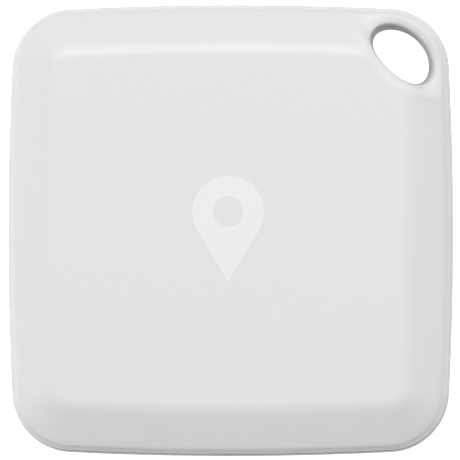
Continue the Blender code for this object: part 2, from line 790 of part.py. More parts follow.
def make_looks():
    return {
        "shell": material("shell_plastic", (0.78, 0.78, 0.785), 0.5),
        "seal": material("seal_rubber", (0.16, 0.16, 0.17), 0.7),
        "foam": material("foam_pad", (0.08, 0.08, 0.085), 0.95),
        "board": material("board_laminate", (0.02, 0.13, 0.07), 0.45),
        "steel": material("spring_steel", (0.62, 0.61, 0.58), 0.3, 1.0),
        "cell": material("cell_steel", (0.66, 0.66, 0.67), 0.28, 1.0),
        "brass": material("plate_brass", (0.72, 0.5, 0.2), 0.3, 1.0),
        "ceramic": material("piezo_ceramic", (0.75, 0.73, 0.66), 0.55),
        "tape": material("foam_tape", (0.7, 0.7, 0.68), 0.8),
        "black": material("mould_compound", (0.025, 0.025, 0.028), 0.5),
        "can": material("crystal_can", (0.68, 0.66, 0.6), 0.3, 1.0),
        "antenna": material("antenna_ceramic", (0.72, 0.72, 0.74), 0.4),
        "ferrite": material("ferrite", (0.05, 0.05, 0.055), 0.65),
        "tantalum": material("tantalum_case", (0.62, 0.4, 0.06), 0.5),
        "capacitor": material("capacitor_ceramic", (0.45, 0.33, 0.22), 0.5),
    }


def clear_scene():
    for obj in list(bpy.data.objects):
        bpy.data.objects.remove(obj, do_unlink=True)


def main():
    clear_scene()
    bpy.context.scene.unit_settings.system = "METRIC"
    looks = make_looks()
    rear_case = add_body("rear_case")
    seal = add_body("seal", rear_case, (0, 0, TONGUE_TOP))
    front_cover = add_body("front_cover", seal, (SWITCH_X, SWITCH_Y, CEILING_Z))
    coin_cell = add_body("coin_cell", rear_case, (CELL_X, CELL_Y, CELL_BOTTOM))
    plunger = add_body("switch_plunger", rear_case, (SWITCH_X, SWITCH_Y, BOARD_TOP))

    make_rear_shell(rear_case, looks)
    make_board(rear_case, looks)
    make_screws(rear_case, looks)
    make_contacts(rear_case, looks)
    make_board_parts(rear_case, looks)
    make_switch(rear_case, plunger, looks)
    make_springs(rear_case, looks)
    make_cell(coin_cell, looks)
    make_seal(seal, looks)
    make_front_cover(front_cover, looks)
    make_sounder(front_cover, looks)
    make_foam(front_cover, looks)


main()
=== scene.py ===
"""Square key tracker tag: the finished pieces, their materials and the studio, built round the
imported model. Laid out as an add-on; run as a script it makes everything in order."""

import math

import bmesh
import bpy
from bpy.props import FloatProperty, FloatVectorProperty, IntProperty, PointerProperty
from mathutils import Matrix, Vector
from mathutils.geometry import delaunay_2d_cdt


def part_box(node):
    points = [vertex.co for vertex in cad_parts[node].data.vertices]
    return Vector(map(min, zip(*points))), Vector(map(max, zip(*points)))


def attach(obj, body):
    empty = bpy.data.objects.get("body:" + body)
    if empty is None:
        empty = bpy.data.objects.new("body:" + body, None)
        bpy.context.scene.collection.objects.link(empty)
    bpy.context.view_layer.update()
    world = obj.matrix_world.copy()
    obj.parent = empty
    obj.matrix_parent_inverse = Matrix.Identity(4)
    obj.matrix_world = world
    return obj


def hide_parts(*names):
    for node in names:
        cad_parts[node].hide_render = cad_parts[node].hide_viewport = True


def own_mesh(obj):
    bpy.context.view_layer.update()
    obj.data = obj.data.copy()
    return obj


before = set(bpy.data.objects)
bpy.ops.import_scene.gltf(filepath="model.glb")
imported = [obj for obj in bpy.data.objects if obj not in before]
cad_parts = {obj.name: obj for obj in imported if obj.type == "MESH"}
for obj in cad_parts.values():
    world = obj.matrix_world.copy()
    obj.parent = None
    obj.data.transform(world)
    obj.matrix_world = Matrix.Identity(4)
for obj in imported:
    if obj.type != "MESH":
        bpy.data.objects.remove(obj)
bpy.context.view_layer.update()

bl_info = {
    "name": "Key tracker tag",
    "version": (1, 0, 0),
    "blender": (4, 5, 0),
    "location": "3D View > Sidebar > Tracker tag",
    "description": "Builds a square key tracker tag with its inside parts and a studio",
    "category": "Add Mesh",
}

MM = 0.001
DIAGONAL = Vector((1, 1, 0)).normalized()

# Where the sealed space ends towards the eyelet's corner, measured along the diagonal, and how far
# the front shell's hollow is drawn in from the case's plan
LUG_DISTANCE = 17.9 * MM
FRONT_CAVITY_INSET = 1.0 * MM

# Rear shell: floor, the ring round the cell, the screw posts and the tongue's two sides
FLOOR_TOP = 1.1 * MM
WELL_INNER, WELL_OUTER, WELL_TOP = 10.25 * MM, 10.95 * MM, 4.2 * MM
POST_RADIUS, PILOT_RADIUS, PILOT_BOTTOM = 1.5 * MM, 0.65 * MM, 1.4 * MM
TONGUE_OUTER, TONGUE_INNER = 1.15 * MM, 1.75 * MM

# Circuit board: gap to the case's plan, radius of its cut-out round the cell, screw holes
BOARD_INSET, BOARD_CUTOUT, BOARD_HOLE = 2.0 * MM, 11.25 * MM, 0.75 * MM

SCREWS = ("board_screw_1", "board_screw_2", "board_screw_3")
CAPACITORS = tuple(f"capacitor_{number}" for number in range(1, 7))


# ---------------------------------------------------------------- settings


def length(name, description, millimetres):
    """A length setting, given in millimetres."""
    return FloatProperty(
        name=name, description=description, default=millimetres * MM, subtype="DISTANCE",
        unit="LENGTH", precision=5,
    )


def colour(name, description, rgb):
    """A colour setting."""
    return FloatVectorProperty(
        name=name, description=description, default=rgb, subtype="COLOR", size=3, min=0, max=1
    )


class TagCaseSettings(bpy.types.PropertyGroup):
    """Sizes and colour of the two shells."""

    corner: length("Corner radius", "Radius of the case's four corners in plan", 5.2)
    bow: length("Bow radius", "Radius to which each side is bowed", 275)
    band_x: length("Side band", "Width of the sloping band at the left and right", 3.57)
    band_y: length("End band", "Width of the sloping band at the top and bottom", 3.81)
    slope: FloatProperty(
        name="Band slope", description="Angle of the sloping band", default=math.radians(20),
        subtype="ANGLE", unit="ROTATION",
    )
    shoulder: length("Shoulder", "Half the width of the rounding round the plateau", 0.62)
    eyelet_long: length("Eyelet half length", "Half the eyelet's size across the diagonal", 2.91)
    eyelet_short: length("Eyelet half width", "Half the eyelet's size along the diagonal", 1.753)
    dish_long: length("Dish half length", "Half the dish's size across the diagonal", 5.5)
    dish_short: length("Dish half width", "Half the dish's size along the diagonal", 3.0)
    dish_shift: length("Dish shift", "How far the dish lies out from the eyelet", 0.3)
    dish_low: length("Dish height at the corner", "Height of the dish at its outer side", 6.78)
    dish_high: length("Dish height at the front", "Height of the dish at its inner side", 7.62)
    lug_arch: length("Lug arch", "How far the lug's crest stands above a straight slope", 0.07)
    side_steps: IntProperty(
        name="Side steps", description="Steps in half a side", default=22, min=4
    )
    corner_steps: IntProperty(
        name="Corner steps", description="Steps in a corner", default=26, min=4
    )
    plastic: colour("Plastic", "Colour of the moulded plastic", (0.66, 0.66, 0.665))
    roughness: FloatProperty(
        name="Roughness", description="Roughness of the textured plastic", default=0.42, min=0,
        max=1, subtype="FACTOR",
    )


class TagInsideSettings(bpy.types.PropertyGroup):
    """Sizes and colours of what the case holds."""

    cell_edge: length("Cell edge", "Rounding of the coin cell's edges", 0.25)
    cell_metal: colour("Cell metal", "Colour of the cell's nickel plating", (0.62, 0.61, 0.59))
    board_mask: colour("Board mask", "Colour of the board's solder mask", (0.012, 0.11, 0.055))
    via_count: FloatProperty(
        name="Via density", description="Plated holes for each square metre of board",
        default=130000,
    )
    spring_turns: FloatProperty(
        name="Spring turns", description="Turns of a sounder spring", default=5
    )
    spring_wire: length("Spring wire", "Radius of a sounder spring's wire", 0.09)
    strip: length("Contact thickness", "Thickness of the contacts' sheet steel", 0.12)


class TagStageSettings(bpy.types.PropertyGroup):
    """Camera, lights and floor."""

    distance: length("Camera distance", "Distance from the tag's middle to the camera", 800)
    view_width: length("View width", "Width of what the camera sees at the tag's front", 39.17)
    turn: FloatProperty(
        name="Turn", description="How far right of square the camera stands",
        default=math.radians(2.0), subtype="ANGLE", unit="ROTATION",
    )
    drop: FloatProperty(
        name="Drop", description="How far below square the camera stands",
        default=math.radians(1.3), subtype="ANGLE", unit="ROTATION",
    )
    key_power: FloatProperty(
        name="Key power", description="Power of the light above the front, in watts", default=10.15
    )
    right_power: FloatProperty(
        name="Right power", description="Power of the light at the right, in watts", default=5.1
    )
    corner_power: FloatProperty(
        name="Corner power", description="Power of the light past the eyelet's corner, in watts",
        default=6.8,
    )
    left_power: FloatProperty(
        name="Left power", description="Power of the low light at the left, in watts", default=10.65
    )
    light_reach: length("Light reach", "Distance from the tag to each light", 1400)


# ---------------------------------------------------------------- case outline and surface


class CaseShape:
    """The case's plan and the height of its front, worked out from the settings and the frame."""

    # The largest share that dish_share gives, and the halvings in which it finds one
    MOST_DISH = 1.6
    HALVINGS = 24

    def __init__(self, settings):
        low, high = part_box("rear_shell")
        front_low, front_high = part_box("front_shell")
        self.set = settings
        self.half_x = (high.x - low.x) / 2
        self.half_y = (high.y - low.y) / 2
        self.top = front_high.z
        self.front_bottom = front_low.z
        self.slope = math.tan(settings.slope)
        reach = settings.bow - settings.corner
        x, y = self.half_x - settings.corner, self.half_y - settings.corner
        # The corner's centre, from which its arc meets both bowed sides smoothly
        for _ in range(12):
            x = self.half_x - settings.bow + math.sqrt(reach**2 - y**2)
            y = self.half_y - settings.bow + math.sqrt(reach**2 - x**2)
        self.corner_x, self.corner_y = x, y
        self.side_x = self.half_x - settings.bow
        self.side_y = self.half_y - settings.bow
        self.start = math.atan2(y, x - self.side_x)
        self.end = math.pi / 2 - math.atan2(x, y - self.side_y)
        self.eyelet = Vector((14.70 * MM, 14.94 * MM))
        # How far the eyelet's ends bend inwards, and how far the roll's outer side slides along
        self.bend = 0.33 * MM
        self.slide = 0.3 * MM
        # Width of the roll round the eyelet at its outer and inner side, and its drop per width
        self.roll_outer = 0.42 * MM
        self.roll_inner = 0.1 * MM
        self.roll_steepness = 2.35
        # Where the side wall ends on the band, as a share of the band's width
        self.rim_share = 0.66 / 3.57

    def mixed(self, a, b, share):
        """From a to b as share goes from 0 to 1, level at both ends."""
        turn = share * math.pi / 2
        return a * math.cos(turn) ** 2 + b * math.sin(turn) ** 2

    def outline(self, inset_x, inset_y=None):
        """The plan drawn in by inset_x at the sides and inset_y at top and bottom."""
        if inset_y is None:
            inset_y = inset_x
        side_steps, corner_steps = self.set.side_steps, self.set.corner_steps
        quarter = []
        for i in range(side_steps):
            angle = self.start * i / side_steps
            reach = self.set.bow - inset_x
            quarter.append((self.side_x + reach * math.cos(angle), reach * math.sin(angle)))
        for i in range(corner_steps + 1):
            share = i / corner_steps
            angle = self.start + (self.end - self.start) * share
            reach = self.set.corner - self.mixed(inset_x, inset_y, share)
            quarter.append((
                self.corner_x + reach * math.cos(angle),
                self.corner_y + reach * math.sin(angle),
            ))
        for i in range(side_steps - 1, -1, -1):
            angle = math.pi / 2 - (math.pi / 2 - self.end) * i / side_steps
            reach = self.set.bow - inset_y
            quarter.append((reach * math.cos(angle), self.side_y + reach * math.sin(angle)))
        points = quarter[:-1]
        points += [(-x, y) for x, y in reversed(quarter[1:])]
        points += [(-x, -y) for x, y in quarter[:-1]]
        points += [(x, -y) for x, y in reversed(quarter[1:])]
        return points

    def band_share(self, x, y):
        """0 on the widest line, 1 on the plateau's edge, more inside it."""
        x, y = abs(x), abs(y)
        angle = math.atan2(y - self.corner_y, x - self.corner_x)
        if self.start <= angle <= self.end:
            inset = self.set.corner - math.hypot(x - self.corner_x, y - self.corner_y)
            share = (angle - self.start) / (self.end - self.start)
            return inset / self.mixed(self.set.band_x, self.set.band_y, share)
        side = (self.set.bow - math.hypot(x - self.side_x, y)) / self.set.band_x
        end = (self.set.bow - math.hypot(x, y - self.side_y)) / self.set.band_y
        return min(side, end)

    def band_height(self, x, y):
        """Height of the front without its dish."""
        soft = self.set.shoulder
        out = (1 - self.band_share(x, y)) * self.set.band_x
        if out <= -soft:
            return self.top
        if out >= soft:
            return self.top - self.slope * out
        return self.top - self.slope * (out + soft) ** 2 / (4 * soft)

    def dish_edge(self, share):
        """Measures, for oval, of the curve a share of the way from the roll to the dish's end."""
        inner = 1 - share
        roll = (self.roll_outer + self.roll_inner) / 2
        shift = (self.roll_outer - self.roll_inner) / 2
        return (
            (self.set.eyelet_long + self.roll_outer) * inner + self.set.dish_long * share,
            (self.set.eyelet_short + roll) * inner + self.set.dish_short * share,
            shift * inner + self.set.dish_shift * share,
            self.slide * inner,
            self.bend * inner,
            0.0,
        )

    def eyelet_edge(self, flare=0.0):
        """Measures, for oval, of the eyelet's own edge."""
        long_side, short_side = self.set.eyelet_long + flare, self.set.eyelet_short + flare
        return long_side, short_side, 0.0, 0.0, self.bend, self.bend

    def oval(self, long_side, short_side, shift, slide, bend_in, bend_out, steps=160):
        """An oval across the corner whose ends are bent towards the tag's middle."""
        points = []
        for i in range(steps):
            angle = 2 * math.pi * i / steps
            across = math.sin(angle)
            along = long_side * math.cos(angle) + between(0.0, slide, across)
            bent = between(bend_in, bend_out, across) * math.cos(angle) ** 2
            out = short_side * across + shift - bent
            points.append((
                self.eyelet.x + (out + along) * DIAGONAL.x,
                self.eyelet.y + (out - along) * DIAGONAL.y,
            ))
        return points

    def beyond(self, along, out, edge):
        """Whether a point lies outside the oval with these measures."""
        long_side, short_side, shift, slide, bend_in, bend_out = edge
        across = (out - shift) / short_side
        end = ((along - between(0.0, slide, across)) / long_side) ** 2
        out = out - shift + between(bend_in, bend_out, across) * min(1.0, end)
        return end + (out / short_side) ** 2 > 1

    def dish_share(self, x, y):
        """0 at the eyelet, 1 where the dish runs out into the front, a little more beyond."""
        dx, dy = x - self.eyelet.x, y - self.eyelet.y
        along, out = (dx - dy) * DIAGONAL.x, (dx + dy) * DIAGONAL.x
        low, high = 0.0, self.MOST_DISH
        for _ in range(self.HALVINGS):
            middle = (low + high) / 2
            if self.beyond(along, out, self.dish_edge(middle)):
                low = middle
            else:
                high = middle
        return high

    def front_height(self, x, y):
        """Height of the front, dish included."""
        base = self.band_height(x, y)
        share = self.dish_share(x, y)
        if share >= 1:
            return base
        half = self.set.eyelet_short + (self.roll_outer + self.roll_inner) / 2
        out = ((x - self.eyelet.x) + (y - self.eyelet.y)) * DIAGONAL.x / half
        # -1 on the eyelet's inner side, 1 on its outer side
        out = max(-1.0, min(1.0, out))
        # The dish's floor falls from its high side to its low one, fastest near the inner side
        turn = out + 0.7
        fall, corner = 1.5, 0.01
        lean = 1 - math.exp(-fall * (turn + math.sqrt(turn**2 + corner)))
        low = self.set.dish_high - (self.set.dish_high - self.set.dish_low) * lean
        # On the inner side the dish meets the front smoothly, elsewhere at a crease
        flat = 0.3
        soft = max(0.0, (-out - flat) / (1 - flat))
        eased = share * (1 - soft) + share * (2 - share) * soft
        arch = self.set.lug_arch * 4 * share * (1 - share) * max(0.0, out)
        return low + (base - low) * eased + arch


def between(inner, outer, across):
    """Blend of two values: across is -1 on an oval's inner side and 1 on its outer side."""
    reach = 0.6
    return inner + (outer - inner) * (0.5 + 0.5 * max(-1.0, min(1.0, across / reach)))


# ---------------------------------------------------------------- mesh helpers


def ring(points, z):
    """The points of a plan, at a height."""
    return [(x, y, z) for x, y in points]


def circle(radius, steps, x=0.0, y=0.0):
    """Plan points round a circle."""
    angles = [2 * math.pi * i / steps for i in range(steps)]
    return [(x + radius * math.cos(a), y + radius * math.sin(a)) for a in angles]


def skin(bm, rings, closed=False):
    """Faces over rings of equal length; with closed, from the last ring back to the first."""
    loops = [[bm.verts.new(point) for point in points] for points in rings]
    following = loops[1:] + loops[:1] if closed else loops[1:]
    for lower, upper in zip(loops, following):
        for i, corner in enumerate(lower):
            j = (i + 1) % len(lower)
            bm.faces.new((corner, lower[j], upper[j], upper[i]))
    return loops


def loft(rings):
    """A solid over rings of equal length, with its first and last ring filled."""
    bm = bmesh.new()
    loops = skin(bm, rings)
    bm.faces.new(reversed(loops[0]))
    bm.faces.new(loops[-1])
    return bm


def turned(profile, steps, x=0.0, y=0.0):
    """A solid of revolution from (radius, height) points, filled at both ends."""
    return loft([ring(circle(radius, steps, x, y), z) for radius, z in profile])


def hoop(profile, steps, x=0.0, y=0.0):
    """A ring whose section is the closed loop of (radius, height) points."""
    bm = bmesh.new()
    skin(bm, [ring(circle(radius, steps, x, y), z) for radius, z in profile], closed=True)
    return bm


def rounded_rectangle(size_x, size_y, corner, x=0.0, y=0.0, steps=5):
    """Plan points round a rectangle whose corners are rounded."""
    points = []
    for turn in range(4):
        sign_x = 1 if turn in (0, 3) else -1
        sign_y = 1 if turn in (0, 1) else -1
        for i in range(steps + 1):
            angle = math.pi / 2 * (turn + i / steps)
            points.append((
                x + sign_x * (size_x / 2 - corner) + corner * math.cos(angle),
                y + sign_y * (size_y / 2 - corner) + corner * math.sin(angle),
            ))
    return points


def prism(points, bottom, top):
    """A plan raised from bottom to top."""
    return loft([ring(points, bottom), ring(points, top)])


def rounded_edge(radius, z, soft, way, steps=4):
    """Profile points round an outer edge: way 1 up over a top edge, -1 out from a bottom edge."""
    points = []
    for i in range(steps + 1):
        angle = math.pi / 2 * i / steps
        near_start, near_end = soft * (1 - math.cos(angle)), soft * (1 - math.sin(angle))
        if way > 0:
            points.append((radius - near_start, z - near_end))
        else:
            points.append((radius - near_end, z + near_start))
    return points


def round_hoop(inner, outer, bottom, top, soft, steps, x=0.0, y=0.0):
    """A flat ring whose four edges are rounded."""
    profile = rounded_edge(outer, bottom, soft, -1) + rounded_edge(outer, top, soft, 1)
    width = inner + outer
    profile += [(width - radius, z) for radius, z in rounded_edge(outer, top, soft, 1)[::-1]]
    profile += [(width - radius, z) for radius, z in rounded_edge(outer, bottom, soft, -1)[::-1]]
    return hoop(profile, steps, x, y)


def rounded_block(low, high, corner, soft, steps=3):
    """A block between two corners of a box, with rounded upright edges and a rounded top edge."""
    size, middle = high - low, (low + high) / 2
    rings = [ring(rounded_rectangle(size.x, size.y, corner, middle.x, middle.y), low.z)]
    for i in range(steps + 1):
        angle = math.pi / 2 * i / steps
        inset = soft * (1 - math.cos(angle))
        drawn_in = max(corner - inset, corner * 0.4)
        points = rounded_rectangle(
            size.x - 2 * inset, size.y - 2 * inset, drawn_in, middle.x, middle.y
        )
        rings.append(ring(points, high.z - soft * (1 - math.sin(angle))))
    return loft(rings)


def inside(point, loop):
    """Whether a point lies inside a convex loop."""
    signs = set()
    for (ax, ay), (bx, by) in zip(loop, loop[1:] + loop[:1]):
        signs.add((bx - ax) * (point[1] - ay) - (by - ay) * (point[0] - ax) > 0)
    return len(signs) == 1


def sheet(bm, outer, inner, rings, height):
    """Triangles from an outer loop to an inner one, through the points of some rings.

    Each loop is a list of (point, keep): an edge between two kept points is in the result.
    """
    points, edges = [], []
    for loop in [outer, inner] + rings:
        first = len(points)
        points += [Vector(point) for point, _ in loop]
        for i, (_, keep) in enumerate(loop):
            j = (i + 1) % len(loop)
            if keep and loop[j][1]:
                edges.append((first + i, first + j))
    found = delaunay_2d_cdt(points, edges, [], 1, 1e-8)
    verts = [bm.verts.new((point.x, point.y, height(point.x, point.y))) for point in found[0]]
    hole = [point for point, _ in inner]
    for corners in found[2]:
        middle = sum((found[0][i] for i in corners), Vector((0, 0))) / len(corners)
        if not inside(middle, hole):
            bm.faces.new([verts[i] for i in corners])
    bmesh.ops.delete(bm, geom=[v for v in verts if not v.link_faces], context="VERTS")


def whole(points):
    """A loop for sheet with every edge kept."""
    return [(point, True) for point in points]


def unbroken(points, longest):
    """Marks the points of a loop whose neighbours are near, so that no edge spans a gap."""
    marked = []
    for i, point in enumerate(points):
        ahead = points[(i + 1) % len(points)]
        near = math.dist(point, ahead) < longest and math.dist(point, points[i - 1]) < longest
        marked.append((point, near))
    return marked


def clip_corner(bm, distance):
    """Cuts off what lies past a distance along the diagonal, and closes the cut."""
    geometry = bm.verts[:] + bm.edges[:] + bm.faces[:]
    cut = bmesh.ops.bisect_plane(
        bm, geom=geometry, plane_co=DIAGONAL * distance, plane_no=DIAGONAL, clear_outer=True
    )
    edges = [item for item in cut["geom_cut"] if isinstance(item, bmesh.types.BMEdge)]
    bmesh.ops.contextual_create(bm, geom=edges)
    return bm


def mesh_of(bm, name):
    """The bmesh as a mesh, with its faces turned outwards; the bmesh is freed."""
    bmesh.ops.remove_doubles(bm, verts=bm.verts, dist=2e-8)
    bmesh.ops.recalc_face_normals(bm, faces=bm.faces)
    mesh = bpy.data.meshes.new(name)
    bm.to_mesh(mesh)
    bm.free()
    return mesh


def new_object(name, bm):
    """An object in the scene from a bmesh."""
    obj = bpy.data.objects.new(name, mesh_of(bm, name))
    bpy.context.scene.collection.objects.link(obj)
    return obj


def taken(obj):
    """The object's mesh as a bmesh; the object is removed."""
    bm = bmesh.new()
    bm.from_mesh(obj.data)
    bpy.data.objects.remove(obj, do_unlink=True)
    return bm


def combine(obj, operation, bm):
    """Applies a Boolean with the solid bm: DIFFERENCE cuts it away, UNION joins it on."""
    helper = new_object(obj.name + "_helper", bm)
    modifier = obj.modifiers.new("shape", "BOOLEAN")
    modifier.operation = operation
    modifier.object = helper
    settle(obj)
    bpy.data.objects.remove(helper, do_unlink=True)


def soften(obj, width, segments=3, angle=40):
    """Rounds the object's sharp edges with an applied Bevel."""
    modifier = obj.modifiers.new("edges", "BEVEL")
    modifier.width = width
    modifier.segments = segments
    modifier.limit_method = "ANGLE"
    modifier.angle_limit = math.radians(angle)
    settle(obj)


def settle(obj):
    """Applies the object's modifiers to its mesh."""
    graph = bpy.context.evaluated_depsgraph_get()
    mesh = bpy.data.meshes.new_from_object(obj.evaluated_get(graph), depsgraph=graph)
    obj.modifiers.clear()
    old = obj.data
    obj.data = mesh
    bpy.data.meshes.remove(old)
    mesh.name = obj.name


def finish_piece(obj, body, look, nodes=(), angle=30):
    """Shades a piece, gives it its material, ties it to its body and hides the CAD nodes it
    replaces.
    """
    obj.data.shade_smooth()
    obj.data.set_sharp_from_angle(angle=math.radians(angle))
    modifier = obj.modifiers.new("even", "WEIGHTED_NORMAL")
    modifier.keep_sharp = True
    settle(obj)
    obj.data.materials.clear()
    obj.data.materials.append(look)
    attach(obj, body)
    if nodes:
        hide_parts(*nodes)
    return obj


# ---------------------------------------------------------------- materials


def base_material(name, rgb, roughness, metallic=0.0):
    """A material, its node tree and its shader, with these values on the shader's own sockets."""
    made = bpy.data.materials.new(name)
    made.use_nodes = True
    shader = made.node_tree.nodes["Principled BSDF"]
    shader.inputs["Base Color"].default_value = (*rgb, 1)
    shader.inputs["Roughness"].default_value = roughness
    shader.inputs["Metallic"].default_value = metallic
    return made, made.node_tree, shader


def noise(tree, scale, detail):
    """Noise on Object coordinates, in cells per metre."""
    place = tree.nodes.new("ShaderNodeTexCoord")
    texture = tree.nodes.new("ShaderNodeTexNoise")
    texture.inputs["Scale"].default_value = scale
    texture.inputs["Detail"].default_value = detail
    tree.links.new(place.outputs["Object"], texture.inputs["Vector"])
    return texture.outputs["Fac"]


def spread(tree, source, low, high):
    """Maps 0..1 to low..high."""
    node = tree.nodes.new("ShaderNodeMapRange")
    node.inputs["To Min"].default_value = low
    node.inputs["To Max"].default_value = high
    tree.links.new(source, node.inputs["Value"])
    return node.outputs["Result"]


def blend_colours(tree, source, first, second):
    """Maps 0..1 to the colours from first to second."""
    node = tree.nodes.new("ShaderNodeMix")
    node.data_type = "RGBA"
    node.inputs["A"].default_value = (*first, 1)
    node.inputs["B"].default_value = (*second, 1)
    tree.links.new(source, node.inputs["Factor"])
    return node.outputs["Result"]


def bump(tree, shader, source, height, strength):
    """Raises the shader's surface by height where source is 1."""
    node = tree.nodes.new("ShaderNodeBump")
    node.inputs["Strength"].default_value = strength
    node.inputs["Distance"].default_value = height
    tree.links.new(source, node.inputs["Height"])
    tree.links.new(node.outputs["Normal"], shader.inputs["Normal"])


def varied(rgb, share):
    """A colour darkened and lightened by a share."""
    return [tuple(min(1, c * (1 + sign * share)) for c in rgb) for sign in (-1, 1)]


def textured_plastic(settings):
    """Light grey plastic moulded in a finely eroded tool: a grain of about 0.1 mm."""
    found = bpy.data.materials.get("light_grey_plastic")
    if found:
        return found
    rgb = tuple(settings.plastic)
    made, tree, shader = base_material("light_grey_plastic", rgb, settings.roughness)
    low, high = varied(rgb, 0.007)
    tone = blend_colours(tree, noise(tree, 900, 4), low, high)
    tree.links.new(tone, shader.inputs["Base Color"])
    either_way = 0.04
    rough = spread(
        tree, noise(tree, 2500, 3), settings.roughness - either_way, settings.roughness + either_way
    )
    tree.links.new(rough, shader.inputs["Roughness"])
    bump(tree, shader, noise(tree, 9000, 4), 0.004 * MM, 0.5)
    return made


FINISHES = {
    # name: colour, roughness, metallic, share by which the tone varies, grain in cells per metre,
    # height of the grain in mm
    "pale_print": ((0.735, 0.735, 0.74), 0.36, 0, 0.01, 6000, 0.002),
    "dark_rubber": ((0.05, 0.05, 0.055), 0.62, 0, 0.12, 1800, 0.006),
    "black_moulding": ((0.02, 0.02, 0.022), 0.5, 0, 0.25, 7000, 0.004),
    "tinned_steel": ((0.66, 0.65, 0.62), 0.3, 1, 0.05, 1800, 0.0001),
    "gold_pad": ((0.86, 0.62, 0.27), 0.3, 1, 0.05, 3000, 0.0003),
    "solder": ((0.74, 0.74, 0.73), 0.28, 1, 0.08, 2600, 0.0004),
    "rolled_brass": ((0.80, 0.58, 0.26), 0.32, 1, 0.04, 2500, 0.0001),
    "silvered_ceramic": ((0.74, 0.72, 0.68), 0.5, 0, 0.05, 5000, 0.002),
    "silver_print": ((0.8, 0.79, 0.76), 0.55, 0.6, 0.06, 2200, 0.003),
    "white_tape": ((0.7, 0.7, 0.68), 0.85, 0, 0.05, 4000, 0.01),
    "ferrite_black": ((0.05, 0.05, 0.055), 0.7, 0, 0.2, 5000, 0.008),
    "yellow_moulding": ((0.68, 0.42, 0.05), 0.45, 0, 0.06, 5000, 0.003),
    "pale_ceramic": ((0.74, 0.75, 0.77), 0.35, 0, 0.04, 4000, 0.002),
    "brown_ceramic": ((0.42, 0.29, 0.18), 0.4, 0, 0.12, 6000, 0.003),
}


def finish(name):
    """One of the FINISHES, made once: tone, roughness and a fine grain all vary a little."""
    found = bpy.data.materials.get(name)
    if found:
        return found
    rgb, roughness, metallic, vary, grain, height = FINISHES[name]
    made, tree, shader = base_material(name, rgb, roughness, metallic)
    patches = noise(tree, grain / 4, 4)
    low, high = varied(rgb, vary)
    tree.links.new(blend_colours(tree, patches, low, high), shader.inputs["Base Color"])
    rough = spread(tree, noise(tree, grain, 3), roughness * 0.8, roughness * 1.2)
    tree.links.new(rough, shader.inputs["Roughness"])
    bump(tree, shader, noise(tree, grain, 4), height * MM, 0.6)
    return made


def turned_metal(name, rgb, centre):
    """Nickel plating brushed round a centre: fine rings in roughness, tone and height."""
    made, tree, shader = base_material(name, rgb, 0.3, 1.0)
    place = tree.nodes.new("ShaderNodeTexCoord")
    mapping = tree.nodes.new("ShaderNodeMapping")
    mapping.inputs["Location"].default_value = (-centre.x, -centre.y, 0)
    mapping.inputs["Scale"].default_value = (1, 1, 0)
    radius = tree.nodes.new("ShaderNodeVectorMath")
    radius.operation = "LENGTH"
    rings = tree.nodes.new("ShaderNodeTexNoise")
    rings.noise_dimensions = "1D"
    rings.inputs["Scale"].default_value = 14000
    rings.inputs["Detail"].default_value = 4
    tree.links.new(place.outputs["Object"], mapping.inputs["Vector"])
    tree.links.new(mapping.outputs["Vector"], radius.inputs[0])
    tree.links.new(radius.outputs["Value"], rings.inputs["W"])
    patches = blend_colours(tree, noise(tree, 260, 4), tuple(c * 0.93 for c in rgb), rgb)
    tree.links.new(patches, shader.inputs["Base Color"])
    tree.links.new(spread(tree, rings.outputs["Fac"], 0.2, 0.42), shader.inputs["Roughness"])
    bump(tree, shader, rings.outputs["Fac"], 0.003 * MM, 0.7)
    return made


def board_laminate(settings):
    """Green solder mask over tracks that run along in some patches and across in others."""
    mask = tuple(settings.board_mask)
    made, tree, shader = base_material("green_laminate", mask, 0.32)
    place = tree.nodes.new("ShaderNodeTexCoord")
    patches = tree.nodes.new("ShaderNodeTexVoronoi")
    patches.distance = "CHEBYCHEV"
    patches.inputs["Scale"].default_value = 330
    kind = tree.nodes.new("ShaderNodeSeparateColor")
    split = tree.nodes.new("ShaderNodeSeparateXYZ")
    tree.links.new(place.outputs["Object"], patches.inputs["Vector"])
    tree.links.new(place.outputs["Object"], split.inputs["Vector"])
    tree.links.new(patches.outputs["Color"], kind.inputs["Color"])
    along = arithmetic(tree, "GREATER_THAN", kind.outputs["Red"], 0.5)
    line = tree.nodes.new("ShaderNodeMix")
    tree.links.new(along, line.inputs["Factor"])
    tree.links.new(split.outputs["X"], line.inputs["A"])
    tree.links.new(split.outputs["Y"], line.inputs["B"])
    wave = arithmetic(tree, "SINE", arithmetic(tree, "MULTIPLY", line.outputs["Result"], 12500))
    track = arithmetic(tree, "GREATER_THAN", wave, 0.35)
    pour = arithmetic(tree, "GREATER_THAN", kind.outputs["Green"], 0.62)
    copper = arithmetic(tree, "MAXIMUM", track, pour)
    raised = tuple(min(1, c * 1.9 + 0.01) for c in mask)
    tree.links.new(blend_colours(tree, copper, mask, raised), shader.inputs["Base Color"])
    bump(tree, shader, copper, 0.02 * MM, 0.6)
    return made


def arithmetic(tree, operation, first, second=None):
    """A Math node's result: first is a node's output, second a number or a node's output."""
    node = tree.nodes.new("ShaderNodeMath")
    node.operation = operation
    tree.links.new(first, node.inputs[0])
    if isinstance(second, (int, float)):
        node.inputs[1].default_value = second
    elif second is not None:
        tree.links.new(second, node.inputs[1])
    return node.outputs[0]


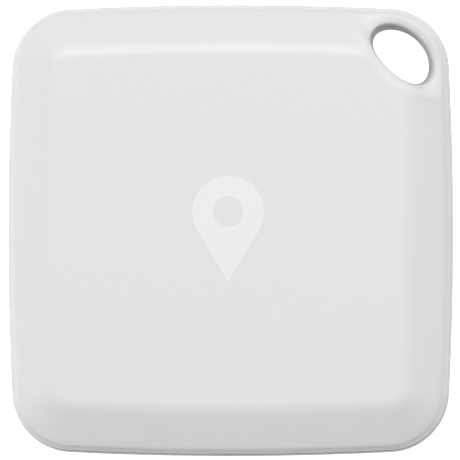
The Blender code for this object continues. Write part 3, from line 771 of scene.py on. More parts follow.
def open_foam():
    """Dark cell foam: rounded pores over a rougher ground, with painted shade darkening each pore
    towards its middle.
    """
    made, tree, shader = base_material("open_foam", (0.035, 0.035, 0.04), 0.95)
    place = tree.nodes.new("ShaderNodeTexCoord")
    pores = tree.nodes.new("ShaderNodeTexVoronoi")
    pores.inputs["Scale"].default_value = 3200
    tree.links.new(place.outputs["Object"], pores.inputs["Vector"])
    # Painted shade: the colour runs from the darkest value in each pore's middle to the lighter one
    # at the cell walls, following the same pattern as the bump
    deep, raised = (0.015, 0.015, 0.018), (0.06, 0.06, 0.065)
    tone = blend_colours(tree, pores.outputs["Distance"], deep, raised)
    tree.links.new(tone, shader.inputs["Base Color"])
    bump(tree, shader, pores.outputs["Distance"], 0.08 * MM, 0.9)
    return made


# ---------------------------------------------------------------- node trees


def start_tree(name, sockets):
    """A node tree with the named inputs and a geometry output."""
    tree = bpy.data.node_groups.new(name, "GeometryNodeTree")
    tree.interface.new_socket("Geometry", in_out="INPUT", socket_type="NodeSocketGeometry")
    for label, kind in sockets:
        tree.interface.new_socket(label, in_out="INPUT", socket_type="NodeSocket" + kind)
    tree.interface.new_socket("Geometry", in_out="OUTPUT", socket_type="NodeSocketGeometry")
    return tree, tree.nodes.new("NodeGroupInput"), tree.nodes.new("NodeGroupOutput")


def end_tree(tree, start, end, result):
    """Realises what result gives, sets its material and hands it out."""
    real = tree.nodes.new("GeometryNodeRealizeInstances")
    look = tree.nodes.new("GeometryNodeSetMaterial")
    tree.links.new(result, real.inputs["Geometry"])
    tree.links.new(real.outputs["Geometry"], look.inputs["Geometry"])
    tree.links.new(start.outputs["Material"], look.inputs["Material"])
    tree.links.new(look.outputs["Geometry"], end.inputs["Geometry"])
    return tree


def attribute(tree, name, kind):
    """What a point carries under a name."""
    node = tree.nodes.new("GeometryNodeInputNamedAttribute")
    node.data_type = kind
    node.inputs["Name"].default_value = name
    return node.outputs["Attribute"]


def copies_tree():
    """A copy of one shape on each point, scaled by the point's size and turned by its turn."""
    tree, start, end = start_tree(
        "copies_on_points", (("Shape", "Object"), ("Material", "Material"))
    )
    shape = tree.nodes.new("GeometryNodeObjectInfo")
    place = tree.nodes.new("GeometryNodeInstanceOnPoints")
    angle = tree.nodes.new("ShaderNodeCombineXYZ")
    links = tree.links
    links.new(start.outputs["Shape"], shape.inputs["Object"])
    links.new(attribute(tree, "turn", "FLOAT"), angle.inputs["Z"])
    links.new(start.outputs["Geometry"], place.inputs["Points"])
    links.new(shape.outputs["Geometry"], place.inputs["Instance"])
    links.new(angle.outputs["Vector"], place.inputs["Rotation"])
    links.new(attribute(tree, "size", "FLOAT_VECTOR"), place.inputs["Scale"])
    return end_tree(tree, start, end, place.outputs["Instances"])


def strewn_tree():
    """Copies of one shape strewn evenly over a face at a density, from a fixed seed."""
    tree, start, end = start_tree(
        "copies_strewn",
        (("Shape", "Object"), ("Density", "Float"), ("Apart", "Float"), ("Seed", "Int"),
         ("Material", "Material")),
    )
    shape = tree.nodes.new("GeometryNodeObjectInfo")
    strew = tree.nodes.new("GeometryNodeDistributePointsOnFaces")
    strew.distribute_method = "POISSON"
    place = tree.nodes.new("GeometryNodeInstanceOnPoints")
    links = tree.links
    links.new(start.outputs["Shape"], shape.inputs["Object"])
    links.new(start.outputs["Geometry"], strew.inputs["Mesh"])
    links.new(start.outputs["Density"], strew.inputs["Density Max"])
    links.new(start.outputs["Apart"], strew.inputs["Distance Min"])
    links.new(start.outputs["Seed"], strew.inputs["Seed"])
    links.new(strew.outputs["Points"], place.inputs["Points"])
    links.new(shape.outputs["Geometry"], place.inputs["Instance"])
    return end_tree(tree, start, end, place.outputs["Instances"])


def spring_tree():
    """A coil whose end turns lie closer than its middle ones, from its foot at a place upwards."""
    tree, start, end = start_tree(
        "sounder_spring",
        (("Place", "Vector"), ("Coil radius", "Float"), ("Wire radius", "Float"),
         ("Height", "Float"), ("Turns", "Float"), ("Material", "Material")),
    )
    links = tree.links
    coil = tree.nodes.new("GeometryNodeCurveSpiral")
    coil.inputs["Resolution"].default_value = 32
    links.new(start.outputs["Turns"], coil.inputs["Rotations"])
    links.new(start.outputs["Coil radius"], coil.inputs["Start Radius"])
    links.new(start.outputs["Coil radius"], coil.inputs["End Radius"])
    links.new(start.outputs["Height"], coil.inputs["Height"])
    where = tree.nodes.new("GeometryNodeInputPosition")
    split = tree.nodes.new("ShaderNodeSeparateXYZ")
    ease = tree.nodes.new("ShaderNodeMapRange")
    ease.interpolation_type = "SMOOTHSTEP"
    joined = tree.nodes.new("ShaderNodeCombineXYZ")
    links.new(where.outputs["Position"], split.inputs["Vector"])
    links.new(split.outputs["Z"], ease.inputs["Value"])
    links.new(start.outputs["Height"], ease.inputs["From Max"])
    links.new(start.outputs["Height"], ease.inputs["To Max"])
    links.new(split.outputs["X"], joined.inputs["X"])
    links.new(split.outputs["Y"], joined.inputs["Y"])
    links.new(ease.outputs["Result"], joined.inputs["Z"])
    bent = tree.nodes.new("GeometryNodeSetPosition")
    links.new(coil.outputs["Curve"], bent.inputs["Geometry"])
    links.new(joined.outputs["Vector"], bent.inputs["Position"])
    wire = tree.nodes.new("GeometryNodeCurvePrimitiveCircle")
    wire.inputs["Resolution"].default_value = 12
    links.new(start.outputs["Wire radius"], wire.inputs["Radius"])
    swept = tree.nodes.new("GeometryNodeCurveToMesh")
    swept.inputs["Fill Caps"].default_value = True
    links.new(bent.outputs["Geometry"], swept.inputs["Curve"])
    links.new(wire.outputs["Curve"], swept.inputs["Profile Curve"])
    moved = tree.nodes.new("GeometryNodeTransform")
    links.new(swept.outputs["Mesh"], moved.inputs["Geometry"])
    links.new(start.outputs["Place"], moved.inputs["Translation"])
    return end_tree(tree, start, end, moved.outputs["Geometry"])


def grown(name, bm, tree, **values):
    """A plain mesh made by a node tree from bm; values are its inputs, by name."""
    obj = new_object(name, bm)
    modifier = obj.modifiers.new("nodes", "NODES")
    modifier.node_group = tree
    for label, value in values.items():
        modifier[tree.interface.items_tree[label.replace("_", " ")].identifier] = value
    settle(obj)
    obj.data.validate()
    return obj


def points_mesh(places):
    """Points for copies_tree: each place is x, y, z, turn and size along x, y and z."""
    bm = bmesh.new()
    turn = bm.verts.layers.float.new("turn")
    size = bm.verts.layers.float_vector.new("size")
    for x, y, z, angle, scale in places:
        vert = bm.verts.new((x, y, z))
        vert[turn] = angle
        vert[size] = scale
    return bm


def copies(name, shape_bm, places, look):
    """One mesh with a copy of shape_bm at each place."""
    helper = new_object(name + "_shape", shape_bm)
    obj = grown(name, points_mesh(places), copies_tree(), Shape=helper, Material=look)
    bpy.data.objects.remove(helper, do_unlink=True)
    return obj


# ---------------------------------------------------------------- pieces


class TAG_OT_front_shell(bpy.types.Operator):
    """Make the front shell: band, shoulder, plateau, eyelet and dish, hollow inside"""

    bl_idname = "tag.front_shell"
    bl_label = "Front shell"

    def execute(self, context):
        shape = CaseShape(context.scene.tag_case)
        shell = new_object("front_shell_skin", front_solid(shape))
        combine(shell, "DIFFERENCE", front_cavity(shape))
        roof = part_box("piezo_tape")[1].z + 0.3 * MM
        # The boss that presses the switch
        middle = centre_of("switch_plunger")
        boss_radius, boss_bottom = 1.2 * MM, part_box("switch_plunger")[1].z + 0.1 * MM
        profile = rounded_edge(boss_radius, boss_bottom, 0.2 * MM, -1) + [(boss_radius, roof)]
        combine(shell, "UNION", turned(profile, 64, middle.x, middle.y))
        # The rib round the sounder
        low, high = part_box("piezo_plate")
        middle = (low + high) / 2
        inner, bottom, soft = (high.x - low.x) / 2 + 0.3 * MM, low.z - 0.25 * MM, 0.08 * MM
        outer = inner + 0.5 * MM
        profile = (
            (inner, bottom + soft), (inner + soft, bottom), (outer - soft, bottom),
            (outer, bottom + soft), (outer, roof), (inner, roof),
        )
        combine(shell, "UNION", hoop(profile, 128, middle.x, middle.y))
        plastic = textured_plastic(context.scene.tag_case)
        finish_piece(shell, "front_cover", plastic, ["front_shell"])
        return {"FINISHED"}


def front_solid(shape):
    """The front shell without its hollow: side wall, roll round the eyelet, front and bottom."""
    bm = bmesh.new()
    bottom = shape.front_bottom
    rim = shape.outline(shape.rim_share * shape.set.band_x, shape.rim_share * shape.set.band_y)
    wall = (
        # inset, height above the shell's bottom
        (0.27, 0.0), (0.2, 0.03), (0.17, 0.1), (0.31, 1.3), (0.42, 2.3), (0.435, 2.42),
        (0.47, 2.52), (0.53, 2.6),
    )
    rings = [ring(shape.outline(inset * MM), bottom + up * MM) for inset, up in wall]
    rings.append([(x, y, shape.front_height(x, y)) for x, y in rim])
    skin(bm, rings)

    hole = shape.oval(*shape.eyelet_edge())
    edge = shape.oval(*shape.dish_edge(0))
    heights = [shape.front_height(x, y) for x, y in edge]
    rings = [ring(hole, bottom)]
    roll_steps = 8
    for step in range(roll_steps + 1):
        angle = math.pi / 2 * step / roll_steps
        rolled = []
        for (hx, hy), (ex, ey), z in zip(hole, edge, heights):
            across = 1 - math.cos(angle)
            depth = shape.roll_steepness * math.hypot(ex - hx, ey - hy)
            rolled.append((
                hx + (ex - hx) * across,
                hy + (ey - hy) * across,
                z - depth * (1 - math.sin(angle)),
            ))
        rings.append(rolled)
    skin(bm, rings)

    # Rings along the band and the shoulder, then rings round the dish, each left out over the other
    loops = []
    longest = 1.5 * MM
    soft = shape.set.shoulder / shape.set.band_x
    band_steps, shoulder_steps, dish_steps = 7, 10, 14
    flat = 1 - soft - shape.rim_share
    shares = [shape.rim_share + flat * i / band_steps for i in range(1, band_steps + 1)]
    shares += [1 - soft + 2 * soft * i / shoulder_steps for i in range(1, shoulder_steps + 1)]
    for share in shares:
        points = shape.outline(share * shape.set.band_x, share * shape.set.band_y)
        points = [point for point in points if shape.dish_share(*point) > 1.01]
        loops.append(unbroken(points, longest))
    for step in range(1, dish_steps + 1):
        points = shape.oval(*shape.dish_edge(step / dish_steps))
        points = [point for point in points if shape.band_share(*point) > shape.rim_share * 1.12]
        loops.append(unbroken(points, longest))
    sheet(bm, whole(rim), whole(edge), loops, shape.front_height)
    sheet(bm, whole(shape.outline(wall[0][0] * MM)), whole(hole), [], lambda x, y: bottom)
    return bm


def front_cavity(shape):
    """The front shell's hollow: upright walls, a step, then a slope up to the roof."""
    steps = (
        # further inset, height
        (0.0, 2.9), (0.0, 5.6), (0.9, 5.6), (2.7, 6.6),
    )
    inset = FRONT_CAVITY_INSET
    bm = loft([ring(shape.outline(inset + more * MM), z * MM) for more, z in steps])
    return clip_corner(bm, LUG_DISTANCE)


def sealed_prism(shape, inset, bottom, top):
    """A block with the outline of the sealed space: the case's, without the eyelet's corner."""
    bm = prism(shape.outline(inset), bottom, top)
    return clip_corner(bm, LUG_DISTANCE + FRONT_CAVITY_INSET - inset)


def centre_of(*nodes):
    """Middle of the box that holds the nodes."""
    corners = [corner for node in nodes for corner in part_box(node)]
    low = Vector([min(corner[i] for corner in corners) for i in range(3)])
    high = Vector([max(corner[i] for corner in corners) for i in range(3)])
    return (low + high) / 2


def round_cell(bm, angle):
    """Turns a shape made along +X by angle and moves it to the coin cell's centre."""
    cell = centre_of("cell_can")
    bmesh.ops.rotate(bm, cent=(0, 0, 0), matrix=Matrix.Rotation(angle, 3, "Z"), verts=bm.verts)
    bmesh.ops.translate(bm, vec=(cell.x, cell.y, 0), verts=bm.verts)
    return bm


class TAG_OT_rear_shell(bpy.types.Operator):
    """Make the rear shell: rounded wall, tongue, cell ring, screw posts, ribs and eyelet"""

    bl_idname = "tag.rear_shell"
    bl_label = "Rear shell"

    def execute(self, context):
        shape = CaseShape(context.scene.tag_case)
        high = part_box("rear_shell")[1]
        # Everything joined to the floor starts a little inside it
        below = FLOOR_TOP - 0.2 * MM
        shell = new_object("rear_shell_skin", rear_solid(shape))
        combine(shell, "UNION", sealed_prism(shape, TONGUE_OUTER, 2 * MM, high.z))
        combine(shell, "DIFFERENCE", sealed_prism(shape, TONGUE_INNER, FLOOR_TOP, 9 * MM))
        cell = centre_of("cell_can")
        soft = 0.12 * MM
        profile = (
            (WELL_INNER, below), (WELL_OUTER, below), (WELL_OUTER, WELL_TOP - soft),
            (WELL_OUTER - soft, WELL_TOP), (WELL_INNER + 2 * soft, WELL_TOP),
            (WELL_INNER, WELL_TOP - 2 * soft),
        )
        combine(shell, "UNION", hoop(profile, 128, cell.x, cell.y))
        post_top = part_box("circuit_board")[0].z - 0.15 * MM
        middles = [centre_of(node) for node in SCREWS]
        for screw in middles:
            profile = ((POST_RADIUS, below), (POST_RADIUS, post_top))
            combine(shell, "UNION", turned(profile, 48, screw.x, screw.y))
            combine(shell, "UNION", wall_rib(shape, screw, below))
        for screw in middles:
            profile = ((PILOT_RADIUS, PILOT_BOTTOM), (PILOT_RADIUS, 4 * MM))
            combine(shell, "DIFFERENCE", turned(profile, 32, screw.x, screw.y))
        gaps = (
            # angle from +X, width, bottom
            (0, 3.8, 1.5), (45, 3.8, 1.11), (-135, 6.5, 2.6),
        )
        well_middle = (WELL_INNER + WELL_OUTER) / 2
        for angle, width, bottom in gaps:
            plan = rounded_rectangle(2.2 * MM, width * MM, 0.3 * MM, well_middle)
            cutter = prism(plan, bottom * MM, WELL_TOP + MM)
            combine(shell, "DIFFERENCE", round_cell(cutter, math.radians(angle)))
        combine(shell, "DIFFERENCE", rear_eyelet(shape))
        plastic = textured_plastic(context.scene.tag_case)
        finish_piece(shell, "rear_case", plastic, ["rear_shell"])
        return {"FINISHED"}


def rear_solid(shape):
    """The rear shell's rounded outside, filled."""
    wall = (
        # inset, height
        (1.2, 0.0), (0.96, 0.02), (0.76, 0.08), (0.58, 0.19), (0.42, 0.34), (0.3, 0.5), (0.2, 0.7),
        (0.1, 1.05), (0.03, 1.6), (0.0, 2.4), (0.03, 3.0), (0.08, 3.6), (0.11, 3.71), (0.16, 3.75),
    )
    return loft([ring(shape.outline(inset * MM), z * MM) for inset, z in wall])


def wall_rib(shape, screw, bottom):
    """A thin rib from a screw post to the nearest side wall."""
    half, in_wall, top = 0.3 * MM, 1.4 * MM, 2.4 * MM
    if abs(screw.x) > abs(screw.y):
        far = math.copysign(shape.half_x - in_wall, screw.x)
        low_x, high_x = sorted((screw.x + math.copysign(MM, screw.x), far))
        corners = ((low_x, screw.y - half), (high_x, screw.y - half), (high_x, screw.y + half),
                   (low_x, screw.y + half))
    else:
        far = math.copysign(shape.half_y - in_wall, screw.y)
        low_y, high_y = sorted((screw.y + math.copysign(MM, screw.y), far))
        corners = ((screw.x - half, low_y), (screw.x + half, low_y), (screw.x + half, high_y),
                   (screw.x - half, high_y))
    return prism(corners, bottom, top)


def rear_eyelet(shape):
    """Cutter for the eyelet, flared at the back."""
    steps = (
        # flare, height
        (0.5, -0.3), (0.5, 0.0), (0.32, 0.05), (0.15, 0.18), (0.05, 0.34), (0.0, 0.55), (0.0, 5.0),
    )
    rings = []
    for flare, z in steps:
        rings.append(ring(shape.oval(*shape.eyelet_edge(flare * MM)), z * MM))
    return loft(rings)


def board_block(shape, bottom, top, margin=0.0):
    """The board's outline as a solid, drawn in by a margin at every edge and hole."""
    obj = new_object("board_block", sealed_prism(shape, BOARD_INSET + margin, bottom, top))
    cell = centre_of("cell_can")
    reach = BOARD_CUTOUT + margin
    points = []
    steps = 96
    for i in range(steps + 1):
        angle = math.radians(-45 + 180 * i / steps)
        points.append((cell.x + reach * math.cos(angle), cell.y + reach * math.sin(angle)))
    far = -shape.half_x * 1.2
    points += [(far, points[-1][1]), (far, far), (points[0][0], far)]
    combine(obj, "DIFFERENCE", prism(points, bottom - MM, top + MM))
    radius = BOARD_HOLE + margin
    for screw in [centre_of(node) for node in SCREWS]:
        profile = ((radius, bottom - MM), (radius, top + MM))
        combine(obj, "DIFFERENCE", turned(profile, 48, screw.x, screw.y))
    return obj


class TAG_OT_board(bpy.types.Operator):
    """Make the circuit board, its plated holes and its bare test pads"""

    bl_idname = "tag.board"
    bl_label = "Circuit board"

    def execute(self, context):
        shape = CaseShape(context.scene.tag_case)
        inside_set = context.scene.tag_inside
        low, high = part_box("circuit_board")
        board = board_block(shape, low.z, high.z)
        board.name = "circuit_board_skin"
        soften(board, 0.03 * MM, 2)
        laminate = board_laminate(inside_set)
        finish_piece(board, "rear_case", laminate, ["circuit_board"])

        # The plated holes are strewn over the board's top, away from every edge
        bm = taken(board_block(shape, high.z - 0.1 * MM, high.z, 0.7 * MM))
        under = [face for face in bm.faces if face.normal.z < 0.9]
        bmesh.ops.delete(bm, geom=under, context="FACES")
        pad_top = 0.02 * MM
        gold = finish("gold_pad")
        hole = new_object(
            "via_shape",
            hoop(((0.1 * MM, 0), (0.22 * MM, 0), (0.2 * MM, pad_top), (0.12 * MM, pad_top)), 12),
        )
        vias = grown(
            "board_vias", bm, strewn_tree(), Shape=hole, Density=inside_set.via_count,
            Apart=1.1 * MM, Seed=7, Material=gold,
        )
        bpy.data.objects.remove(hole, do_unlink=True)
        finish_piece(vias, "rear_case", gold)

        # A row of four test pads along the top and one of three along the right
        places = [((2.8 + 1.2 * i) * MM, 16.2 * MM, high.z, 0, (1, 1, 1)) for i in range(4)]
        places += [(15.4 * MM, (5.0 + 1.4 * i) * MM, high.z, 0, (1, 1, 1)) for i in range(3)]
        disc = turned(((0.48 * MM, 0), (0.48 * MM, 0.015 * MM), (0.45 * MM, 0.025 * MM)), 32)
        pads = copies("board_test_pads", disc, places, gold)
        finish_piece(pads, "rear_case", gold)
        return {"FINISHED"}


CHIPS = (
    # node, slot, finish, corner radius, top edge radius, detail on top
    ("radio_chip", "mould_compound", "black_moulding", 0.08, 0.06, "dimple"),
    ("driver_chip", "mould_compound", "black_moulding", 0.08, 0.06, "dimple"),
    ("crystal_main", "crystal_can", "tinned_steel", 0.15, 0.08, "lid"),
    ("crystal_slow", "crystal_can", "tinned_steel", 0.25, 0.1, "lid"),
    ("chip_antenna", "antenna_ceramic", "pale_ceramic", 0.06, 0.05, "meander"),
    ("boost_inductor", "ferrite", "ferrite_black", 0.45, 0.12, "groove"),
    ("bulk_capacitor", "tantalum_case", "yellow_moulding", 0.12, 0.15, "bar"),
)


class TAG_OT_board_parts(bpy.types.Operator):
    """Make the chips, crystals, antenna, inductor and capacitors"""

    bl_idname = "tag.board_parts"
    bl_label = "Board parts"

    def execute(self, context):
        for node, slot, look, corner, soft, detail in CHIPS:
            low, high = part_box(node)
            obj = new_object(node + "_skin", rounded_block(low, high, corner * MM, soft * MM))
            for cutter in top_cutters(detail, low, high):
                combine(obj, "DIFFERENCE", cutter)
            finish_piece(obj, "rear_case", finish(look), [node], angle=25)
        for node in CAPACITORS:
            low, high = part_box(node)
            obj = new_object(node + "_skin", rounded_block(low, high, 0.05 * MM, 0.04 * MM))
            finish_piece(obj, "rear_case", finish("brown_ceramic"), [node])
        return {"FINISHED"}


def top_cutters(detail, low, high):
    """Solids that cut a board part's detail into its top."""
    middle, size = (low + high) / 2, high - low
    above = high.z + MM
    if detail == "dimple":
        x, y = low.x + 0.55 * MM, high.y - 0.55 * MM
        return [turned(((0.2 * MM, high.z - 0.04 * MM), (0.24 * MM, above)), 32, x, y)]
    if detail == "lid":
        rim = 0.12 * MM
        outer = rounded_rectangle(size.x * 1.2, size.y * 1.2, 0.1 * MM, middle.x, middle.y)
        inner = rounded_rectangle(size.x - 2 * rim, size.y - 2 * rim, 0.12 * MM, middle.x, middle.y)
        step = high.z - 0.12 * MM
        bm = bmesh.new()
        rings = [ring(inner, step), ring(outer, step), ring(outer, above), ring(inner, above)]
        skin(bm, rings, closed=True)
        return [bm]
    if detail == "groove":
        deep, wide = high.z - 0.08 * MM, 0.12 * MM
        radius = size.x * 0.4
        profile = ((radius, deep), (radius + wide, deep), (radius + wide, above), (radius, above))
        return [hoop(profile, 64, middle.x, middle.y)]
    if detail == "bar":
        bar = rounded_rectangle(size.x * 1.2, 0.35 * MM, 0.02 * MM, middle.x, high.y - 0.6 * MM)
        return [prism(bar, high.z - 0.03 * MM, above)]
    lines = []
    for i in range(6):
        x = low.x + size.x * (i + 1.5) / 8
        y = middle.y + (0.25 if i % 2 else -0.25) * MM
        line = rounded_rectangle(0.18 * MM, 1.2 * MM, 0.05 * MM, x, y)
        lines.append(prism(line, high.z - 0.03 * MM, above))
    return lines


class TAG_OT_board_metal(bpy.types.Operator):
    """Solder the board parts down: leads, end caps and fillets"""

    bl_idname = "tag.board_metal"
    bl_label = "Leads and solder"

    def execute(self, context):
        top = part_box("circuit_board")[1].z
        solder = finish("solder")
        block = rounded_block(Vector((-0.5, -0.5, 0)), Vector((0.5, 0.5, 1)), 0.12, 0.1)
        capped = [(node, 0.24, 0.01, 1) for node in CAPACITORS]
        capped += [
            # node, depth of each end, how far it stands out, share of the part's height
            ("chip_antenna", 0.5, 0.02, 1),
            ("boost_inductor", 0.5, 0.02, 0.35),
            ("bulk_capacitor", 0.4, 0.03, 0.3),
        ]
        ends = []
        for node, deep, over, share in capped:
            ends += end_caps(node, top, deep * MM, over * MM, share)
        caps = copies("board_end_caps", block, ends, solder)
        finish_piece(caps, "rear_case", solder)
        leaded = (
            # node, leads along each side
            ("radio_chip", 8), ("driver_chip", 5), ("crystal_main", 2), ("crystal_slow", 1),
            ("switch_base", 2),
        )
        leads = []
        for node, count in leaded:
            leads += side_leads(node, top, count)
        wedge = loft([
            ring(rounded_rectangle(0.42 * MM, 0.3 * MM, 0.06 * MM), 0),
            ring(rounded_rectangle(0.34 * MM, 0.28 * MM, 0.06 * MM), 0.06 * MM),
            ring(rounded_rectangle(0.12 * MM, 0.24 * MM, 0.05 * MM), 0.2 * MM),
        ])
        fillets = copies("board_leads", wedge, leads, solder)
        finish_piece(fillets, "rear_case", solder)
        return {"FINISHED"}


def end_caps(node, bottom, deep, over, share):
    """Places of a unit block as the two metal ends of a part, over its longer side."""
    low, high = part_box(node)
    size, middle = high - low, (low + high) / 2
    tall = (high.z - bottom) * share + over
    places = []
    for side in (-1, 1):
        if size.x >= size.y:
            x = middle.x + side * (size.x / 2 - deep / 2 + over)
            places.append((x, middle.y, bottom, 0, (deep, size.y + 2 * over, tall)))
        else:
            y = middle.y + side * (size.y / 2 - deep / 2 + over)
            places.append((middle.x, y, bottom, 0, (size.x + 2 * over, deep, tall)))
    return places


def side_leads(node, z, count):
    """Places of a lead at equal steps along each side of a part."""
    low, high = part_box(node)
    size, middle = high - low, (low + high) / 2
    outside, span = 0.05 * MM, 0.86
    places = []
    for i in range(count):
        share = (i + 0.5) / count - 0.5
        for side in (-1, 1):
            x = middle.x + side * (size.x / 2 + outside)
            y = middle.y + share * size.y * span
            places.append((x, y, z, 0, (1, 1, 1)))
            if count > 2:
                x = middle.x + share * size.x * span
                y = middle.y + side * (size.y / 2 + outside)
                places.append((x, y, z, math.pi / 2, (1, 1, 1)))
    return places


class TAG_OT_screws(bpy.types.Operator):
    """Make the three thread-forming screws with cross recesses"""

    bl_idname = "tag.screws"
    bl_label = "Screws"

    def execute(self, context):
        low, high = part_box(SCREWS[0])
        screw = new_object("screw_shape", screw_solid(low.z, high.z))
        arm, width, deep = 1.25 * MM, 0.26 * MM, 0.38 * MM
        for size_x, size_y in ((arm, width), (width, arm)):
            slot = rounded_rectangle(size_x, size_y, 0.05 * MM)
            combine(screw, "DIFFERENCE", prism(slot, high.z - deep, high.z + MM))
        steel = finish("tinned_steel")
        # Each screw has stopped at another angle
        places = [(*centre_of(node).xy, 0, 0.6 * i, (1, 1, 1)) for i, node in enumerate(SCREWS)]
        screws = copies("board_screws", taken(screw), places, steel)
        finish_piece(screws, "rear_case", steel, SCREWS)
        return {"FINISHED"}


def screw_solid(bottom, top):
    """A pointed shank with ridges for its thread, and a pan head."""
    head_bottom, edge = 3.7 * MM, 0.3 * MM
    shank, root, head = 0.55 * MM, 0.44 * MM, 1.1 * MM
    soft, pitch = 0.04 * MM, 0.22 * MM
    profile = [(0.2 * MM, bottom), (root, bottom + 0.3 * MM)]
    z = bottom + 0.35 * MM
    while z < head_bottom - 2 * pitch:
        profile += [(root, z), (shank, z + pitch / 2), (root, z + pitch * 0.9)]
        z += pitch
    profile += [(root, head_bottom - 0.1 * MM), (shank, head_bottom)]
    profile += [(head - soft, head_bottom), (head, head_bottom + soft), (head, head_bottom + edge)]
    steps = 6
    for i in range(1, steps):
        angle = math.pi / 2 * i / steps
        profile.append((
            head * (0.6 + 0.4 * math.cos(angle)),
            head_bottom + edge + (top - head_bottom - edge) * math.sin(angle),
        ))
    profile.append((head * 0.3, top))
    return turned(profile, 32)


class TAG_OT_contacts(bpy.types.Operator):
    """Make the cell's two spring contacts of bent strip"""

    bl_idname = "tag.contacts"
    bl_label = "Contacts"

    def execute(self, context):
        thick = context.scene.tag_inside.strip
        steel = finish("tinned_steel")
        # Each path is a line of distances from the cell's centre and heights, in mm
        minus_path = (
            (0.5, 1.42), (3.0, 1.28), (12.2, 1.28), (12.7, 1.5), (12.8, 2.1), (12.8, 2.85)
        )
        plus_path = ((10.45, 1.9), (10.2, 2.8), (10.45, 3.6), (10.7, 3.78), (13.2, 3.78))
        contacts = (
            # node, path, angle round the cell, slot's near and far ends
            ("contact_negative", minus_path, math.pi / 4, (0.2, 4.5)),
            ("contact_positive", plus_path, 0, (11.7, 12.7)),
        )
        for node, path, angle, slot in contacts:
            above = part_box(node)[1].z + MM
            straight = new_object(node + "_straight", bent_strip(path, thick, 3.0 * MM))
            near, far = slot
            plan = rounded_rectangle((far - near) * MM, 0.5 * MM, 0.2 * MM, (near + far) / 2 * MM)
            combine(straight, "DIFFERENCE", prism(plan, 0, above))
            strip = new_object(node + "_skin", round_cell(taken(straight), angle))
            soften(strip, 0.025 * MM, 2, 60)
            finish_piece(strip, "rear_case", steel, [node])
        return {"FINISHED"}


def bent_strip(path, thickness, width):
    """A strip of sheet metal along a smooth line through (distance, height) points in mm."""
    line = smooth_line([Vector(point) * MM for point in path], 5)
    sides = ([], [])
    for i, point in enumerate(line):
        along = (line[min(i + 1, len(line) - 1)] - line[max(i - 1, 0)]).normalized()
        across = Vector((-along.y, along.x)) * thickness / 2
        sides[0].append(point - across)
        sides[1].append(point + across)
    profile = sides[0] + sides[1][::-1]
    return loft([[(p.x, side * width / 2, p.y) for p in profile] for side in (-1, 1)])


def smooth_line(points, steps):
    """Points on a curve that passes through the given ones."""
    line = []
    for i in range(len(points) - 1):
        before, start = points[max(i - 1, 0)], points[i]
        end, after = points[i + 1], points[min(i + 2, len(points) - 1)]
        pull = min(1.0, (end - start).length / MM) * 0.5
        for step in range(steps):
            t = step / steps
            lean_in = (end - before) * pull * 0.5
            lean_out = (after - start) * pull * 0.5
            line.append(
                start * (2 * t**3 - 3 * t**2 + 1) + end * (3 * t**2 - 2 * t**3)
                + lean_in * (t**3 - 2 * t**2 + t) + lean_out * (t**3 - t**2)
            )
    return line + [points[-1]]


class TAG_OT_coin_cell(bpy.types.Operator):
    """Make the coin cell: plated can with a stamped plus sign, gasket and cap"""

    bl_idname = "tag.coin_cell"
    bl_label = "Coin cell"

    def execute(self, context):
        settings = context.scene.tag_inside
        can_low, can_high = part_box("cell_can")
        centre = centre_of("cell_can")
        plating = turned_metal("brushed_nickel", tuple(settings.cell_metal), centre)
        radius, top = (can_high.x - can_low.x) / 2, can_high.z
        cap_low, cap_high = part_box("cell_cap")
        soft = settings.cell_edge
        # From inside the crimped lip out, up over the rim and in over the shallow step on the face
        lip, face = 9.6 * MM, top - 0.05 * MM
        profile = [(lip, cap_high.z + 0.15 * MM), (lip, can_low.z + 0.08 * MM)]
        profile += [(lip + 0.06 * MM, can_low.z)]
        profile += rounded_edge(radius, can_low.z, soft, -1, 6)
        profile += rounded_edge(radius, top, soft, 1, 6)
        profile += [(9.0 * MM, top), (8.9 * MM, face), (0.5 * MM, face)]
        can = new_object("cell_can_skin", turned(profile, 128, centre.x, centre.y))
        arm, width, deep = 4.2 * MM, 0.8 * MM, 0.13 * MM
        for size_x, size_y in ((arm, width), (width, arm)):
            bar = rounded_rectangle(size_x, size_y, 0.2 * MM, centre.x, centre.y)
            combine(can, "DIFFERENCE", prism(bar, top - deep, top + MM))
        finish_piece(can, "coin_cell", plating, ["cell_can"])

        gasket_low, gasket_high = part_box("cell_gasket")
        outer = (gasket_high.x - gasket_low.x) / 2
        gasket = new_object("cell_gasket_skin", round_hoop(
            outer - 0.7 * MM, outer, gasket_low.z, gasket_high.z, 0.1 * MM, 128, centre.x, centre.y
        ))
        finish_piece(gasket, "coin_cell", finish("dark_rubber"), ["cell_gasket"])

        radius = (cap_high.x - cap_low.x) / 2
        profile = [(radius * 0.5, cap_low.z + 0.03 * MM), (radius * 0.52, cap_low.z)]
        profile += [(8.15 * MM, cap_low.z), (8.35 * MM, cap_low.z + 0.04 * MM)]
        profile += [(radius, 1.9 * MM), (radius, cap_high.z)]
        cap = new_object("cell_cap_skin", turned(profile, 128, centre.x, centre.y))
        finish_piece(cap, "coin_cell", plating, ["cell_cap"])
        return {"FINISHED"}


